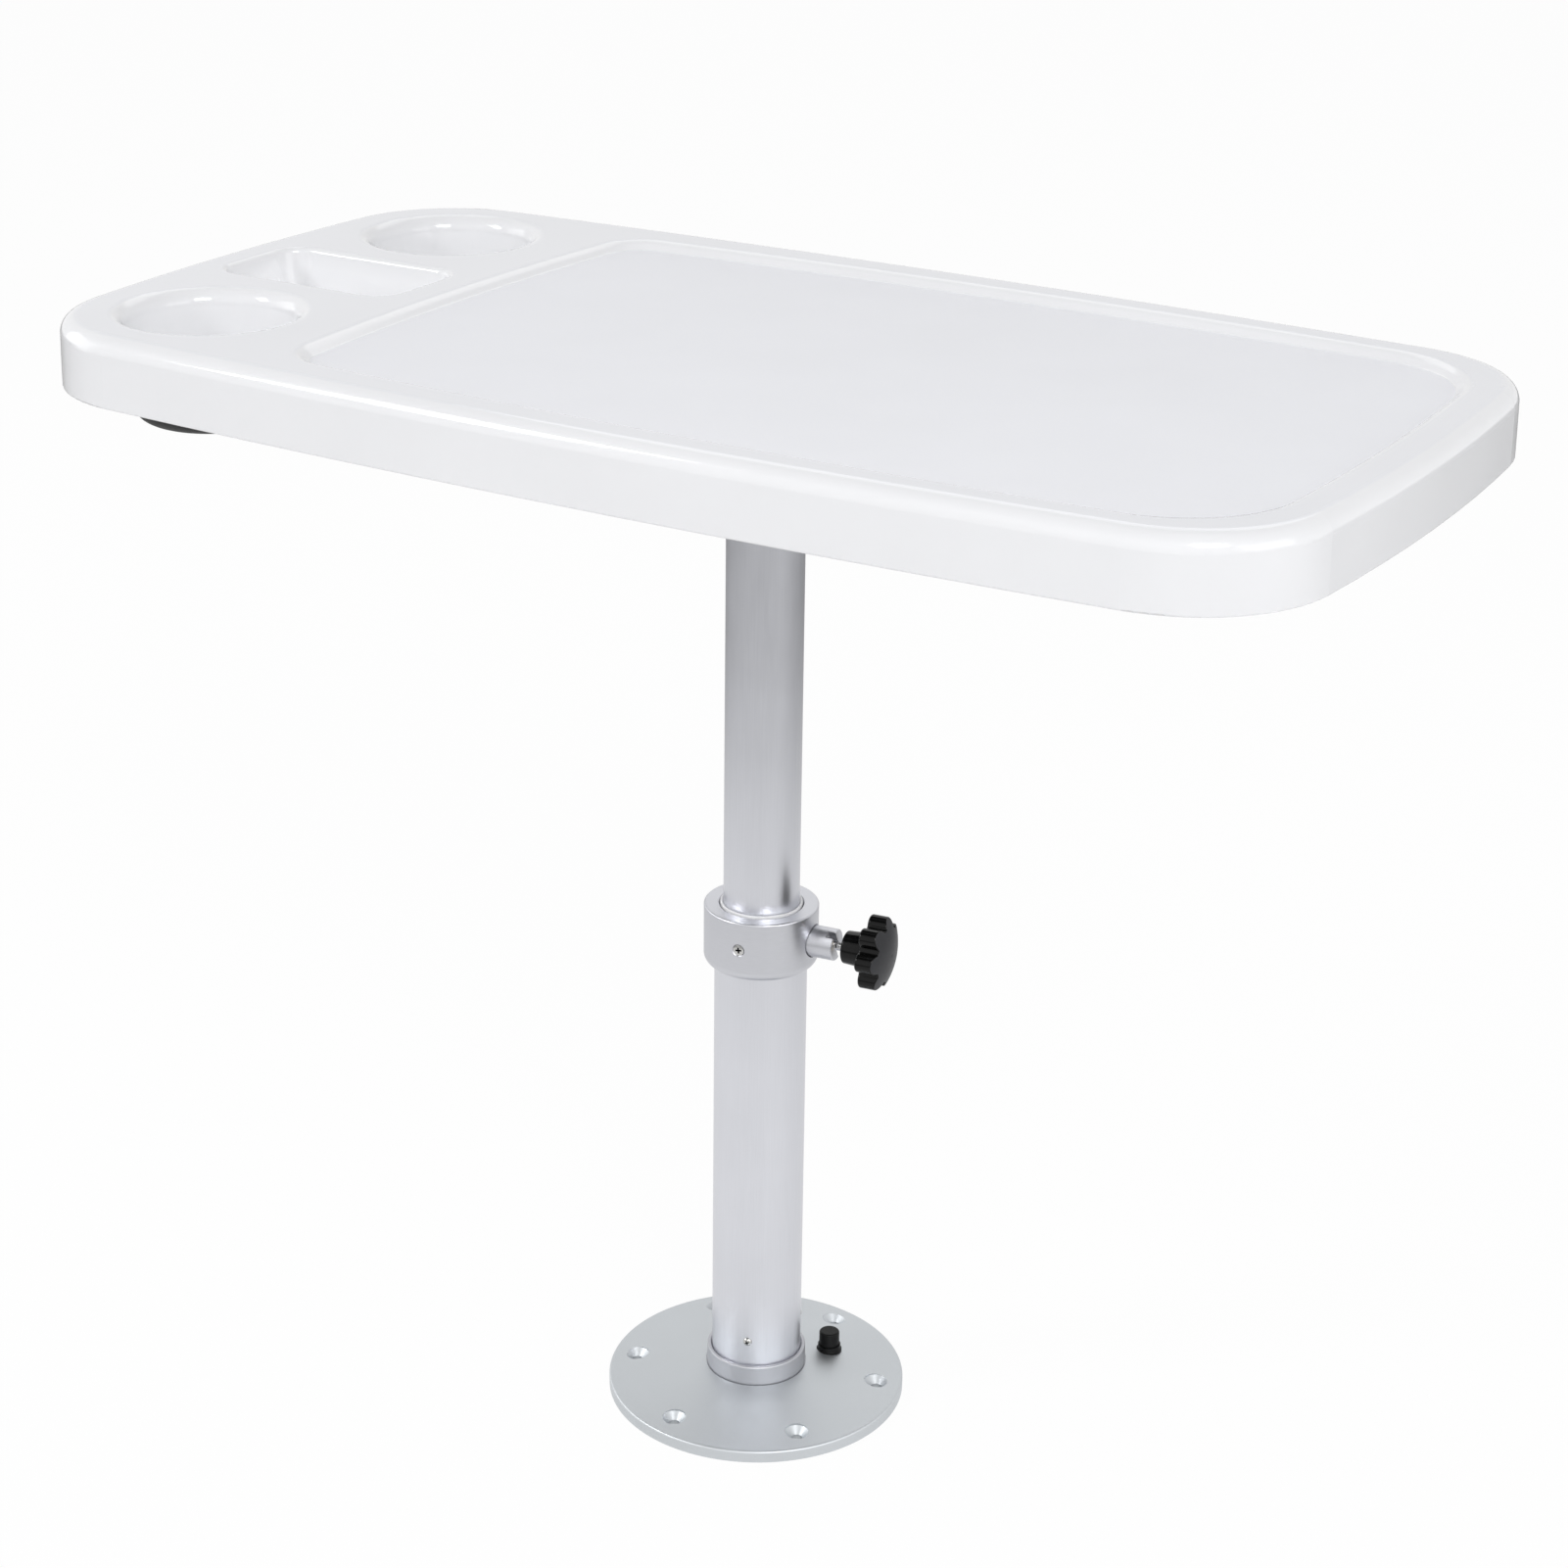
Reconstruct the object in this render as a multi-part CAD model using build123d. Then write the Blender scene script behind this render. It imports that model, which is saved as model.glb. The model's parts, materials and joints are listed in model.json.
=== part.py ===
from build123d import *
import os
from math import radians, tan

# Single pole camper table: a moulded top on a telescopic pole with a bolted base plate.
# Millimetres. The origin is on the floor under the pole, +Z is up and +X runs along
# the top, away from the cup wells. The pole stands at the top of its travel.

# Fits
SLIP = 0.05            # radial gap of fixed pieces that slide together
RUN = 0.08             # radial gap of a running fit
CLEAR = 0.3            # gap between pieces that move past each other
BASE_SLIP = 0.15       # radial gap of the lower tube in its hub ring
TOUCH = 0.01           # how near two edges lie to count as one
PAN_HEAD_CROWN = 0.7   # share of a round head's height that is rounded

# Pole tubes
LOWER_TUBE_R = 30.0
LOWER_TUBE_WALL = 2.5
UPPER_TUBE_R = 24.5
UPPER_TUBE_WALL = 2.0

# Base plate
BASE_R = 100.0
BASE_RIM_H = 8.0
BASE_CONE_RISE = 8.6
BASE_EDGE_ROUND = 1.5
HUB_WALL = 3.1
HUB_TOP_Z = 30.3
HUB_EDGE = 1.0
HUB_SKIRT = 5.0
HUB_GROOVE_W = 0.8
HUB_GROOVE_DEPTH = 0.8
BASE_HOLE_PCD = 166.0
BASE_HOLE_COUNT = 6
BASE_HOLE_START = 20.3
BASE_HOLE_R = 3.6
BASE_SINK_R = 8.0
BASE_SINK_ANGLE = 45.0
BASE_SINK_SET = 0.4
BASE_RECESS_H = 5.5
BASE_RECESS_R = 72.0
BASE_RIB_T = 5.0
TUBE_SEAT_Z = 14.0

# Foot plug and its screws
SPIGOT_R = 26.0
SPIGOT_FOOT_Z = 1.0
SPIGOT_LEAD = 1.0
SPIGOT_GROOVE_DEPTH = 4.0
FOOT_SCREW_Z = 48.2
FOOT_SCREW_COUNT = 3
FOOT_SCREW_START = -70.4
FOOT_SCREW_HEAD_R = 3.1
FOOT_SCREW_HEAD_H = 2.1
FOOT_SCREW_SHANK_R = 2.0
FOOT_SCREW_LENGTH = 10.0
FOOT_PLUG_ABOVE = 10.0
FOOT_PLUG_WALL = 7.0
FOOT_PLUG_FLOOR = 10.0

# Release button, its spring and the latch
BUTTON_AZIMUTH = 50.3
BUTTON_OFFSET = 53.0
BUTTON_R = 6.9
BUTTON_TOP_Z = 28.8
BUTTON_ROUND = 1.4
BUTTON_WALL = 1.2
BUTTON_ROOF = 2.5
BUTTON_STEM_R = 3.0
BUTTON_TRAVEL = 3.5
BEZEL_FOOT_R = 8.6
BEZEL_FOOT_H = 2.3
BEZEL_WALL = 0.5
BEZEL_FLARE_R = 0.8
BEZEL_H = 6.0
BEZEL_SEAT_Z = 12.6
BEZEL_FLOOR = 1.2
SPRING_WIRE_R = 0.4
SPRING_TURNS = 5
LATCH_Z = 4.0
LATCH_T = 4.6
LATCH_W = 10.0
LATCH_BITE = 2.6
LATCH_TAIL = 12.0
LATCH_BLADE_W = 5.0
LATCH_BLADE_T = 3.4
LATCH_PLAY = 0.2
RAIL_W = 7.0
COVER_T = 1.2
COVER_OVERHANG = 4.5
COVER_SCREW_R = 1.5
COVER_SCREW_HEAD_R = 2.6
COVER_SCREW_HEAD_H = 1.2
COVER_SCREW_BITE = 3.5

# Collar
COLLAR_R = 37.0
COLLAR_TOP_Z = 358.5
COLLAR_H = 45.5
COLLAR_LIP = 10.3
COLLAR_FOOT_ROUND = 6.4
COLLAR_EDGE = 1.2
COLLAR_MOUTH_GAP = 0.5
COLLAR_MOUTH_CHAMFER = 0.7
COLLAR_SCREW_R = 2.0
COLLAR_SCREW_HEAD_R = 4.2
COLLAR_SCREW_Z = 339.5
COLLAR_SCREW_SPACING = 90.0
COLLAR_SCREW_SINK = 0.25

# Clamp knob
KNOB_AZIMUTH = 8.0
KNOB_Z = 338.0
SLEEVE_R = 10.3
SLEEVE_END = 52.7
SLEEVE_STEP = 33.0
SLEEVE_SINK = 34.8
SLEEVE_SINK_GAP = 0.7
SLEEVE_NOSE_R = 8.0
SLEEVE_EDGE = 0.6
SLOT_W = 4.8
SLOT_DEPTH = 5.0
SLOT_TILT = 31.0
PAD_R = 4.4
PAD_L = 6.0
PAD_BORE_DEPTH = 2.0
SCREW_BACK_OFF = 4.0
SCREW_TIP_R = 1.9
SCREW_R = 3.0
SCREW_NECK_R = 2.1
SCREW_NECK_SET = 3.0
KNOB_GAP = 6.0
KNOB_HUB_R = 10.6
KNOB_HUB_FLARE = 0.9
KNOB_HUB_L = 14.8
KNOB_HUB_ROUND = 1.2
KNOB_STAR_L = 11.2
KNOB_STAR_R = 24.2
KNOB_LOBES = 7
KNOB_LOBE_START = 12.7
KNOB_LOBE_R = 6.3
KNOB_CORE_R = 18.0
KNOB_VALLEY_ROUND = 1.6
KNOB_EDGE_ROUND = 1.6
KNOB_FACE_ROUND = 0.8
KNOB_DOME_H = 6.0
INSERT_R = 5.5
INSERT_L = 14.0

# Bushes in the pole
GUIDE_BUSH_L = 48.0
BUSH_NECK_T = 2.0
BUSH_NECK_RISE = 1.2
BUSH_NECK_ROUND = 0.5
BUSH_NECK_LEAD = 0.9
SLIDE_BUSH_L = 45.0
STOP_GAP = 0.6
RING_T = 1.5
RING_GROOVE = 1.0
RING_STAND = 2.2
RING_OPENING = 40.0
PLUG_FLANGE_T = 2.5
PLUG_DEPTH = 22.0
PLUG_WALL = 4.0
PLUG_GAP = 0.5

# Tabletop
TOP_L = 845.0
TOP_W = 450.0
TOP_Z = 726.0
TOP_BOW_LONG = 15.0
TOP_BOW_SHORT = 13.7
TOP_CORNER_R = 86.3
SKIRT_H = 43.5
SKIRT_DRAFT = 1.3
SKIRT_LIP_ROUND = 1.4
TOP_EDGE_R = 11.0
SHELL_WALL = 4.0
RIM_W = 28.5
PANEL_DEPTH = 5.5
PANEL_SLOPE = 50.0
PANEL_END_GAP = 197.5
PANEL_BOW_LONG = 11.0
PANEL_BOW_SHORT = 9.0
PANEL_CORNER_R = 66.0
PANEL_DIVIDER_CORNER_R = 26.0
PANEL_CREST_R = 10.0
PANEL_CREASE_R = 2.5

# Cup wells
CUP_END_GAP = 96.5
CUP_SET_IN = 7.75      # from midway between the tray and the top's long edge
CUP_MOUTH_R = 53.0
CUP_FLOOR_R = 44.0
CUP_DEPTH = 61.5
CUP_LIP_R = 10.0
CUP_FLOOR_ROUND = 8.0
CUP_WALL = 3.0

# Tray well
TRAY_END_GAP = 97.5
TRAY_L = 137.0
TRAY_W = 81.0
TRAY_DEPTH = 36.0
TRAY_TAPER = 14.0
TRAY_CORNER_R = 18.0
TRAY_LIP_R = 4.0
TRAY_FLOOR_ROUND = 5.0
TRAY_WALL = 3.0

# Under the top
BOARD_T = 15.0
BOARD_MARGIN = 12.0
PAN_T = 3.0
PAN_LIP_H = 8.0
PAN_LIP_T = 2.5
BOOT_WALL = 2.5
BOOT_FLANGE_W = 6.0
BOOT_FLANGE_T = 2.0
FLANGE_R = 75.0
FLANGE_RIM_H = 5.0
FLANGE_CONE_RISE = 7.0
FLANGE_HUB_WALL = 4.5
FLANGE_SOCKET_DEPTH = 28.0
FLANGE_ROOF = 8.0
FLANGE_EDGE_ROUND = 1.2
FLANGE_HOLE_PCD = 120.0
FLANGE_HOLE_COUNT = 6
FLANGE_SCREW_R = 2.5
FLANGE_SCREW_HEAD_R = 5.0
FLANGE_SCREW_BITE = 10.0
FLANGE_SCREW_SINK = 1.4
GRUB_R = 2.5
GRUB_COUNT = 3
GRUB_DROP = 20.0
GRUB_SINK = 0.5
PAN_SCREW_R = 1.8
PAN_SCREW_HEAD_R = 4.0
PAN_SCREW_HEAD_H = 2.2
PAN_SCREW_BITE = 9.0
PAN_SCREW_COLUMNS = 5
PAN_SCREW_EDGE = 28.0

# Places worked out from the sizes above
HUB_BORE_R = LOWER_TUBE_R + BASE_SLIP
HUB_R = HUB_BORE_R + HUB_WALL
HUB_FOOT_Z = BASE_RIM_H + BASE_CONE_RISE
LOWER_BORE_R = LOWER_TUBE_R - LOWER_TUBE_WALL
UPPER_BORE_R = UPPER_TUBE_R - UPPER_TUBE_WALL
LOWER_TUBE_TOP_Z = COLLAR_TOP_Z - COLLAR_LIP
GUIDE_BUSH_FOOT_Z = LOWER_TUBE_TOP_Z - GUIDE_BUSH_L
RING_TOP_Z = GUIDE_BUSH_FOOT_Z - STOP_GAP
SLIDE_BUSH_TOP_Z = RING_TOP_Z - RING_T - CLEAR
UPPER_TUBE_FOOT_Z = SLIDE_BUSH_TOP_Z - SLIDE_BUSH_L - CLEAR
SKIRT_FOOT_Z = TOP_Z - SKIRT_H
PANEL_Z = TOP_Z - PANEL_DEPTH
PANEL_LEFT_X = PANEL_END_GAP - TOP_L / 2
CUP_X = CUP_END_GAP - TOP_L / 2
CUP_Y = (TOP_W + TRAY_W) / 4 - CUP_SET_IN
TRAY_X = TRAY_END_GAP - TOP_L / 2
PANEL_SLOPE_W = PANEL_DEPTH * tan(radians(PANEL_SLOPE))
BOARD_TOP_Z = PANEL_Z - SHELL_WALL
PAN_TOP_Z = BOARD_TOP_Z - BOARD_T
PAN_FOOT_Z = PAN_TOP_Z - PAN_T
FLANGE_HUB_R = UPPER_TUBE_R + SLIP + FLANGE_HUB_WALL
UPPER_TUBE_TOP_Z = PAN_FOOT_Z - FLANGE_ROOF
FLANGE_FOOT_Z = UPPER_TUBE_TOP_Z - FLANGE_SOCKET_DEPTH
GRUB_Z = UPPER_TUBE_TOP_Z - GRUB_DROP
SLEEVE_NOSE = LOWER_BORE_R + SLIP
PAD_TIP = UPPER_TUBE_R + CLEAR
PAD_TAIL = PAD_TIP + PAD_L
BUSH_NECK_R = UPPER_TUBE_R + BUSH_NECK_T
KNOB_HUB_END = SLEEVE_END + KNOB_GAP
KNOB_STAR_BACK = KNOB_HUB_END + KNOB_HUB_L
INSERT_END = KNOB_HUB_END + INSERT_L
BEZEL_BORE_R = BUTTON_R + CLEAR
BEZEL_TOP_R = BEZEL_BORE_R + BEZEL_WALL
BUTTON_SKIRT_Z = BEZEL_SEAT_Z + BEZEL_FLOOR + BUTTON_TRAVEL + CLEAR
LATCH_TIP = SPIGOT_R - LATCH_BITE
LATCH_END = BUTTON_OFFSET + LATCH_TAIL
LATCH_TOP_Z = LATCH_Z + LATCH_T
RAIL_FOOT_Z = LATCH_Z - LATCH_PLAY
TRACK_ROOF_Z = LATCH_TOP_Z + LATCH_PLAY
BLADE_FOOT_Z = LATCH_Z + BUTTON_TRAVEL
BLADE_TOP_Z = TRACK_ROOF_Z + BUTTON_TRAVEL
BLADE_FOOT_S = BUTTON_OFFSET - (BLADE_TOP_Z - BLADE_FOOT_Z)
COVER_START = HUB_R + HUB_SKIRT + CLEAR
BASE_SINK_Z = BASE_RIM_H + BASE_CONE_RISE * (BASE_R - BASE_HOLE_PCD / 2) / (BASE_R - HUB_R) - BASE_SINK_SET
CUP_FLOOR_Z = TOP_Z - CUP_DEPTH
FLANGE_SCREW_Z = PAN_FOOT_Z - FLANGE_RIM_H - FLANGE_SCREW_SINK
FLOOR_ALIGN = (Align.CENTER, Align.CENTER, Align.MIN)


def turned(*points):
    """A solid of revolution about Z from (radius, height) points."""
    return revolve(make_face(Plane.XZ * Polyline(*points, close=True)), Axis.Z)


def tube(outer, inner, low, high):
    return turned((inner, low), (outer, low), (outer, high), (inner, high))


def rod(radius, low, high):
    return Pos(0, 0, low) * Cylinder(radius, high - low, align=FLOOR_ALIGN)


def block(low, high):
    """A box between two corners."""
    size = [h - l for l, h in zip(low, high)]
    return Pos(*low) * Box(*size, align=(Align.MIN, Align.MIN, Align.MIN))


def radial(part, azimuth, height):
    """Lay a part made along Z along a radius of the pole at one height."""
    return Pos(0, 0, height) * Rot(0, 0, azimuth) * Rot(0, 90, 0) * part


def driven_in(screw, depth):
    """Turn a screw round so that its shank points at the pole's axis."""
    return Pos(0, 0, depth) * Rot(180, 0, 0) * screw


def spun(part, count, start=0.0):
    """Copies of a part spaced evenly round the pole."""
    return [Rot(0, 0, start + 360.0 * k / count) * part for k in range(count)]


def circles(part, radius, height):
    """The round edges of a part with one radius at one height."""
    edges = part.edges().filter_by(GeomType.CIRCLE)
    return edges.filter_by(lambda e: near(e.radius, radius) and near(e.arc_center.Z, height))


def near(a, b):
    return abs(a - b) < TOUCH


def edges_at(part, height):
    """The edges of a part that lie flat at one height."""
    return part.edges().filter_by(
        lambda e: near(e.bounding_box().min.Z, height) and near(e.bounding_box().max.Z, height)
    )


def edges_within(edges, part):
    """Those edges that lie inside the floor area of another part."""
    box = part.bounding_box()
    return edges.filter_by(
        lambda e: e.bounding_box().min.X > box.min.X - TOUCH and e.bounding_box().max.X < box.max.X + TOUCH
        and e.bounding_box().min.Y > box.min.Y - TOUCH and e.bounding_box().max.Y < box.max.Y + TOUCH
    )


def countersunk(head_r, shank_r, length, gap=0.0):
    """A countersunk screw with its head face at the origin, or its hole when a gap is given."""
    head, shank = head_r + gap, shank_r + gap
    return turned((0, 0), (head, 0), (shank, head_r - shank_r), (shank, length), (0, length))


def pan_head(head_r, head_h, shank_r, length):
    """A round-headed screw with the seat of its head at the origin."""
    screw = rod(head_r, -head_h, 0) + rod(shank_r, 0, length)
    return fillet(circles(screw, head_r, -head_h), head_h * PAN_HEAD_CROWN)


def bowed_plan(low_x, high_x, half_w, bow_long, bow_short, low_corner, high_corner, inset=0.0):
    """A rectangle with sides that bow outwards and rounded corners, on the floor plane."""
    x0, x1, w = low_x + inset, high_x - inset, half_w - inset
    mid = (x0 + x1) / 2
    a, b = (x0 + bow_short, -w + bow_long), (x1 - bow_short, -w + bow_long)
    c, d = (b[0], -b[1]), (a[0], -a[1])
    sides = [(a, (mid, -w), b), (b, (x1, 0), c), (c, (mid, w), d), (d, (x0, 0), a)]
    plan = make_face([ThreePointArc(*side) for side in sides])
    plan = fillet(plan.vertices().filter_by(lambda v: near(v.X, a[0])), low_corner - inset)
    return fillet(plan.vertices().filter_by(lambda v: near(v.X, b[0])), high_corner - inset)


def top_plan(inset=0.0):
    return bowed_plan(-TOP_L / 2, TOP_L / 2, TOP_W / 2, TOP_BOW_LONG, TOP_BOW_SHORT,
                      TOP_CORNER_R, TOP_CORNER_R, inset)


def panel_plan(inset=0.0):
    edge = RIM_W + PANEL_SLOPE_W
    return bowed_plan(PANEL_LEFT_X, TOP_L / 2 - edge, TOP_W / 2 - edge, PANEL_BOW_LONG,
                      PANEL_BOW_SHORT, PANEL_DIVIDER_CORNER_R, PANEL_CORNER_R, inset)


def panel_hollow(grow=0.0, drop=0.0):
    """The sunk panel's dished hollow, or its underside when it is grown and dropped."""
    return extrude(Pos(0, 0, PANEL_Z - drop) * panel_plan(-grow), amount=PANEL_DEPTH, taper=-PANEL_SLOPE)


def tray_well(grow=0.0):
    """The tray's hollow, or its outer wall when it is grown."""
    depth = TRAY_DEPTH + grow
    mouth = RectangleRounded(TRAY_L + 2 * grow, TRAY_W + 2 * grow, TRAY_CORNER_R + grow)
    well = extrude(Pos(TRAY_X, 0, TOP_Z) * mouth, amount=-depth, taper=TRAY_TAPER)
    return fillet(edges_at(well, TOP_Z - depth), TRAY_FLOOR_ROUND + grow)


def cup_well(grow=0.0):
    """A cup's tapered hollow below its lip, or its outer wall when it is grown."""
    floor_z, turn_z = CUP_FLOOR_Z - grow, TOP_Z - CUP_LIP_R
    floor_r, mouth_r = CUP_FLOOR_R + grow, CUP_MOUTH_R + grow
    well = turned((0, floor_z), (floor_r, floor_z), (mouth_r, turn_z), (0, turn_z))
    return fillet(circles(well, floor_r, floor_z), CUP_FLOOR_ROUND + grow)


def cup_flare():
    """The rounded mouth above a cup's tapered hollow."""
    turn_z, lip_r = TOP_Z - CUP_LIP_R, CUP_MOUTH_R + CUP_LIP_R
    bead = revolve(Plane.XZ * Pos(lip_r, turn_z) * Circle(CUP_LIP_R), Axis.Z)
    return rod(lip_r, turn_z, TOP_Z) - bead


def cup_shoulder():
    """The thickened wall behind a cup's rounded mouth."""
    turn_z = TOP_Z - CUP_LIP_R
    return turned((0, turn_z), (CUP_MOUTH_R + CUP_WALL, turn_z),
                  (CUP_MOUTH_R + CUP_LIP_R, TOP_Z - SHELL_WALL), (0, TOP_Z - SHELL_WALL))


def at_cups(part):
    return [Pos(CUP_X, side * CUP_Y, 0) * part for side in (-1, 1)]


def tabletop_shell():
    """The moulded top: a drafted skirt, a crowned rim, a sunk panel and three wells."""
    skin = extrude(Pos(0, 0, SKIRT_FOOT_Z) * top_plan(), amount=SKIRT_H, taper=SKIRT_DRAFT)
    skin = fillet(edges_at(skin, TOP_Z), TOP_EDGE_R)
    dish = panel_hollow()
    skin -= dish
    skin = fillet(edges_at(skin, PANEL_Z), PANEL_CREASE_R)
    skin = fillet(edges_within(edges_at(skin, TOP_Z), dish), PANEL_CREST_R)
    skin -= tray_well()
    skin = fillet(edges_within(edges_at(skin, TOP_Z), tray_well()), TRAY_LIP_R)
    skin -= at_cups(cup_well() + cup_flare())

    cavity = extrude(Pos(0, 0, SKIRT_FOOT_Z) * top_plan(SHELL_WALL),
                     amount=SKIRT_H - SHELL_WALL, taper=SKIRT_DRAFT)
    cavity = fillet(edges_at(cavity, TOP_Z - SHELL_WALL), TOP_EDGE_R - SHELL_WALL)
    under = panel_hollow(SHELL_WALL * tan(radians(90 - PANEL_SLOPE) / 2), SHELL_WALL)
    cavity -= under
    cavity = fillet(edges_within(edges_at(cavity, TOP_Z - SHELL_WALL), under), PANEL_CREST_R - SHELL_WALL)
    cavity = fillet(edges_at(cavity, BOARD_TOP_Z), PANEL_CREASE_R + SHELL_WALL)
    cavity -= tray_well(TRAY_WALL)
    cavity -= at_cups(cup_well(CUP_WALL) + cup_shoulder())
    shell = skin + at_cups(cup_well(CUP_WALL) - cup_well()) - cavity
    return fillet(edges_at(shell, SKIRT_FOOT_Z), SKIRT_LIP_ROUND)


def flange_screw_holes(part):
    return spun(Pos(FLANGE_HOLE_PCD / 2, 0, 0) * part, FLANGE_HOLE_COUNT)


def at_pan_screws(part):
    """Copies of a part along both long edges of the core board."""
    first = PANEL_LEFT_X + BOARD_MARGIN + PAN_SCREW_EDGE + PANEL_DIVIDER_CORNER_R / 2
    last = TOP_L / 2 - RIM_W - PANEL_SLOPE_W - BOARD_MARGIN - PAN_SCREW_EDGE - PANEL_CORNER_R / 2
    row = TOP_W / 2 - RIM_W - PANEL_SLOPE_W - BOARD_MARGIN - PAN_SCREW_EDGE
    step = (last - first) / (PAN_SCREW_COLUMNS - 1)
    return [Pos(first + k * step, side * row, 0) * part
            for k in range(PAN_SCREW_COLUMNS) for side in (-1, 1)]


def core_board():
    """The stiffening board under the panel, with pilot holes for both sets of screws."""
    board = extrude(Pos(0, 0, PAN_TOP_Z) * panel_plan(BOARD_MARGIN), amount=BOARD_T)
    board -= flange_screw_holes(rod(FLANGE_SCREW_R + SLIP, PAN_TOP_Z, PAN_TOP_Z + FLANGE_SCREW_BITE + CLEAR))
    return board - at_pan_screws(rod(PAN_SCREW_R + SLIP, PAN_TOP_Z, PAN_TOP_Z + PAN_SCREW_BITE + CLEAR))


def above_pan():
    """The space over the pan, to trim what ends flush with its top face."""
    return block((-TOP_L, -TOP_W, PAN_TOP_Z), (TOP_L, TOP_W, TOP_Z))


def underside_pan():
    """The black pan that closes the underside, with holes for the boots of the wells."""
    inset = SHELL_WALL + CLEAR + (PAN_TOP_Z - SKIRT_FOOT_Z) * tan(radians(SKIRT_DRAFT))
    plate = extrude(Pos(0, 0, PAN_FOOT_Z - PAN_LIP_H) * top_plan(inset), amount=PAN_LIP_H + PAN_T)
    pan = plate - extrude(Pos(0, 0, PAN_FOOT_Z - PAN_LIP_H) * top_plan(inset + PAN_LIP_T), amount=PAN_LIP_H)
    pan -= at_cups(cup_well(CUP_WALL + CLEAR + BOOT_WALL + SLIP))
    pan -= tray_well(TRAY_WALL + CLEAR + BOOT_WALL + SLIP)
    pan -= flange_screw_holes(rod(FLANGE_SCREW_R + SLIP, PAN_FOOT_Z, PAN_TOP_Z))
    return pan - at_pan_screws(rod(PAN_SCREW_R + SLIP, PAN_FOOT_Z, PAN_TOP_Z))


def cup_boots():
    """The black covers round the cups, each with a flange against the pan."""
    outer = cup_well(CUP_WALL + CLEAR + BOOT_WALL) - above_pan()
    flange_r = CUP_MOUTH_R + CUP_WALL + CLEAR + BOOT_WALL + BOOT_FLANGE_W
    boot = outer + rod(flange_r, PAN_FOOT_Z - BOOT_FLANGE_T, PAN_FOOT_Z)
    return at_cups(boot - cup_well(CUP_WALL + CLEAR))


def tray_boot():
    """The black cover round the tray, with a flange against the pan."""
    outer = tray_well(TRAY_WALL + CLEAR + BOOT_WALL) - above_pan()
    rim = RectangleRounded(TRAY_L + 2 * BOOT_FLANGE_W, TRAY_W + 2 * BOOT_FLANGE_W, TRAY_CORNER_R + BOOT_FLANGE_W)
    flange = extrude(Pos(TRAY_X, 0, PAN_FOOT_Z - BOOT_FLANGE_T) * rim, amount=BOOT_FLANGE_T)
    return outer + flange - tray_well(TRAY_WALL + CLEAR)


def pan_screws():
    screw = pan_head(PAN_SCREW_HEAD_R, PAN_SCREW_HEAD_H, PAN_SCREW_R, PAN_T + PAN_SCREW_BITE)
    return at_pan_screws(Pos(0, 0, PAN_FOOT_Z) * screw)


def flange_screw(gap=0.0):
    length = PAN_TOP_Z + FLANGE_SCREW_BITE - FLANGE_SCREW_Z
    return Pos(0, 0, FLANGE_SCREW_Z) * countersunk(FLANGE_SCREW_HEAD_R, FLANGE_SCREW_R, length, gap)


def top_flange():
    """The turned socket under the top: a coned disc with a hub that takes the upper tube."""
    bore, rim_z = UPPER_TUBE_R + SLIP, PAN_FOOT_Z - FLANGE_RIM_H
    flange = turned(
        (0, PAN_FOOT_Z), (FLANGE_R, PAN_FOOT_Z), (FLANGE_R, rim_z),
        (FLANGE_HUB_R, rim_z - FLANGE_CONE_RISE), (FLANGE_HUB_R, FLANGE_FOOT_Z),
        (bore, FLANGE_FOOT_Z), (bore, UPPER_TUBE_TOP_Z), (0, UPPER_TUBE_TOP_Z),
    )
    flange = fillet(circles(flange, FLANGE_R, rim_z), FLANGE_EDGE_ROUND)
    flange = fillet(circles(flange, FLANGE_HUB_R, FLANGE_FOOT_Z), FLANGE_EDGE_ROUND)
    mouth = rod(FLANGE_SCREW_HEAD_R + SLIP, FLANGE_FOOT_Z, FLANGE_SCREW_Z)
    flange -= flange_screw_holes(flange_screw(SLIP) + mouth)
    grub = radial(rod(GRUB_R + SLIP, 0, FLANGE_R), 0, GRUB_Z)
    return flange - spun(grub, GRUB_COUNT)


def flange_screws():
    return flange_screw_holes(flange_screw())


def flange_grub_screws():
    grub = rod(GRUB_R, UPPER_TUBE_R + SLIP, FLANGE_HUB_R - GRUB_SINK)
    return spun(radial(grub, 0, GRUB_Z), GRUB_COUNT)


def ring_space(gap):
    """The space of the retaining ring, larger by a gap, all the way round."""
    return tube(UPPER_TUBE_R + RING_STAND, UPPER_TUBE_R - RING_GROOVE - gap + SLIP,
                RING_TOP_Z - RING_T - gap, RING_TOP_Z + gap)


def upper_tube():
    pole = tube(UPPER_TUBE_R, UPPER_BORE_R, UPPER_TUBE_FOOT_Z, UPPER_TUBE_TOP_Z)
    return pole - ring_space(SLIP)


def retaining_ring():
    """An open spring ring in the groove of the upper tube."""
    reach = UPPER_TUBE_R + 2 * RING_STAND
    wedge = Pos(0, 0, RING_TOP_Z - 2 * RING_T) * extrude(
        make_face(Polyline((0, 0), (reach, -reach * tan(radians(RING_OPENING / 2))),
                           (reach, reach * tan(radians(RING_OPENING / 2))), close=True)),
        amount=3 * RING_T,
    )
    return ring_space(0.0) - wedge


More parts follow.
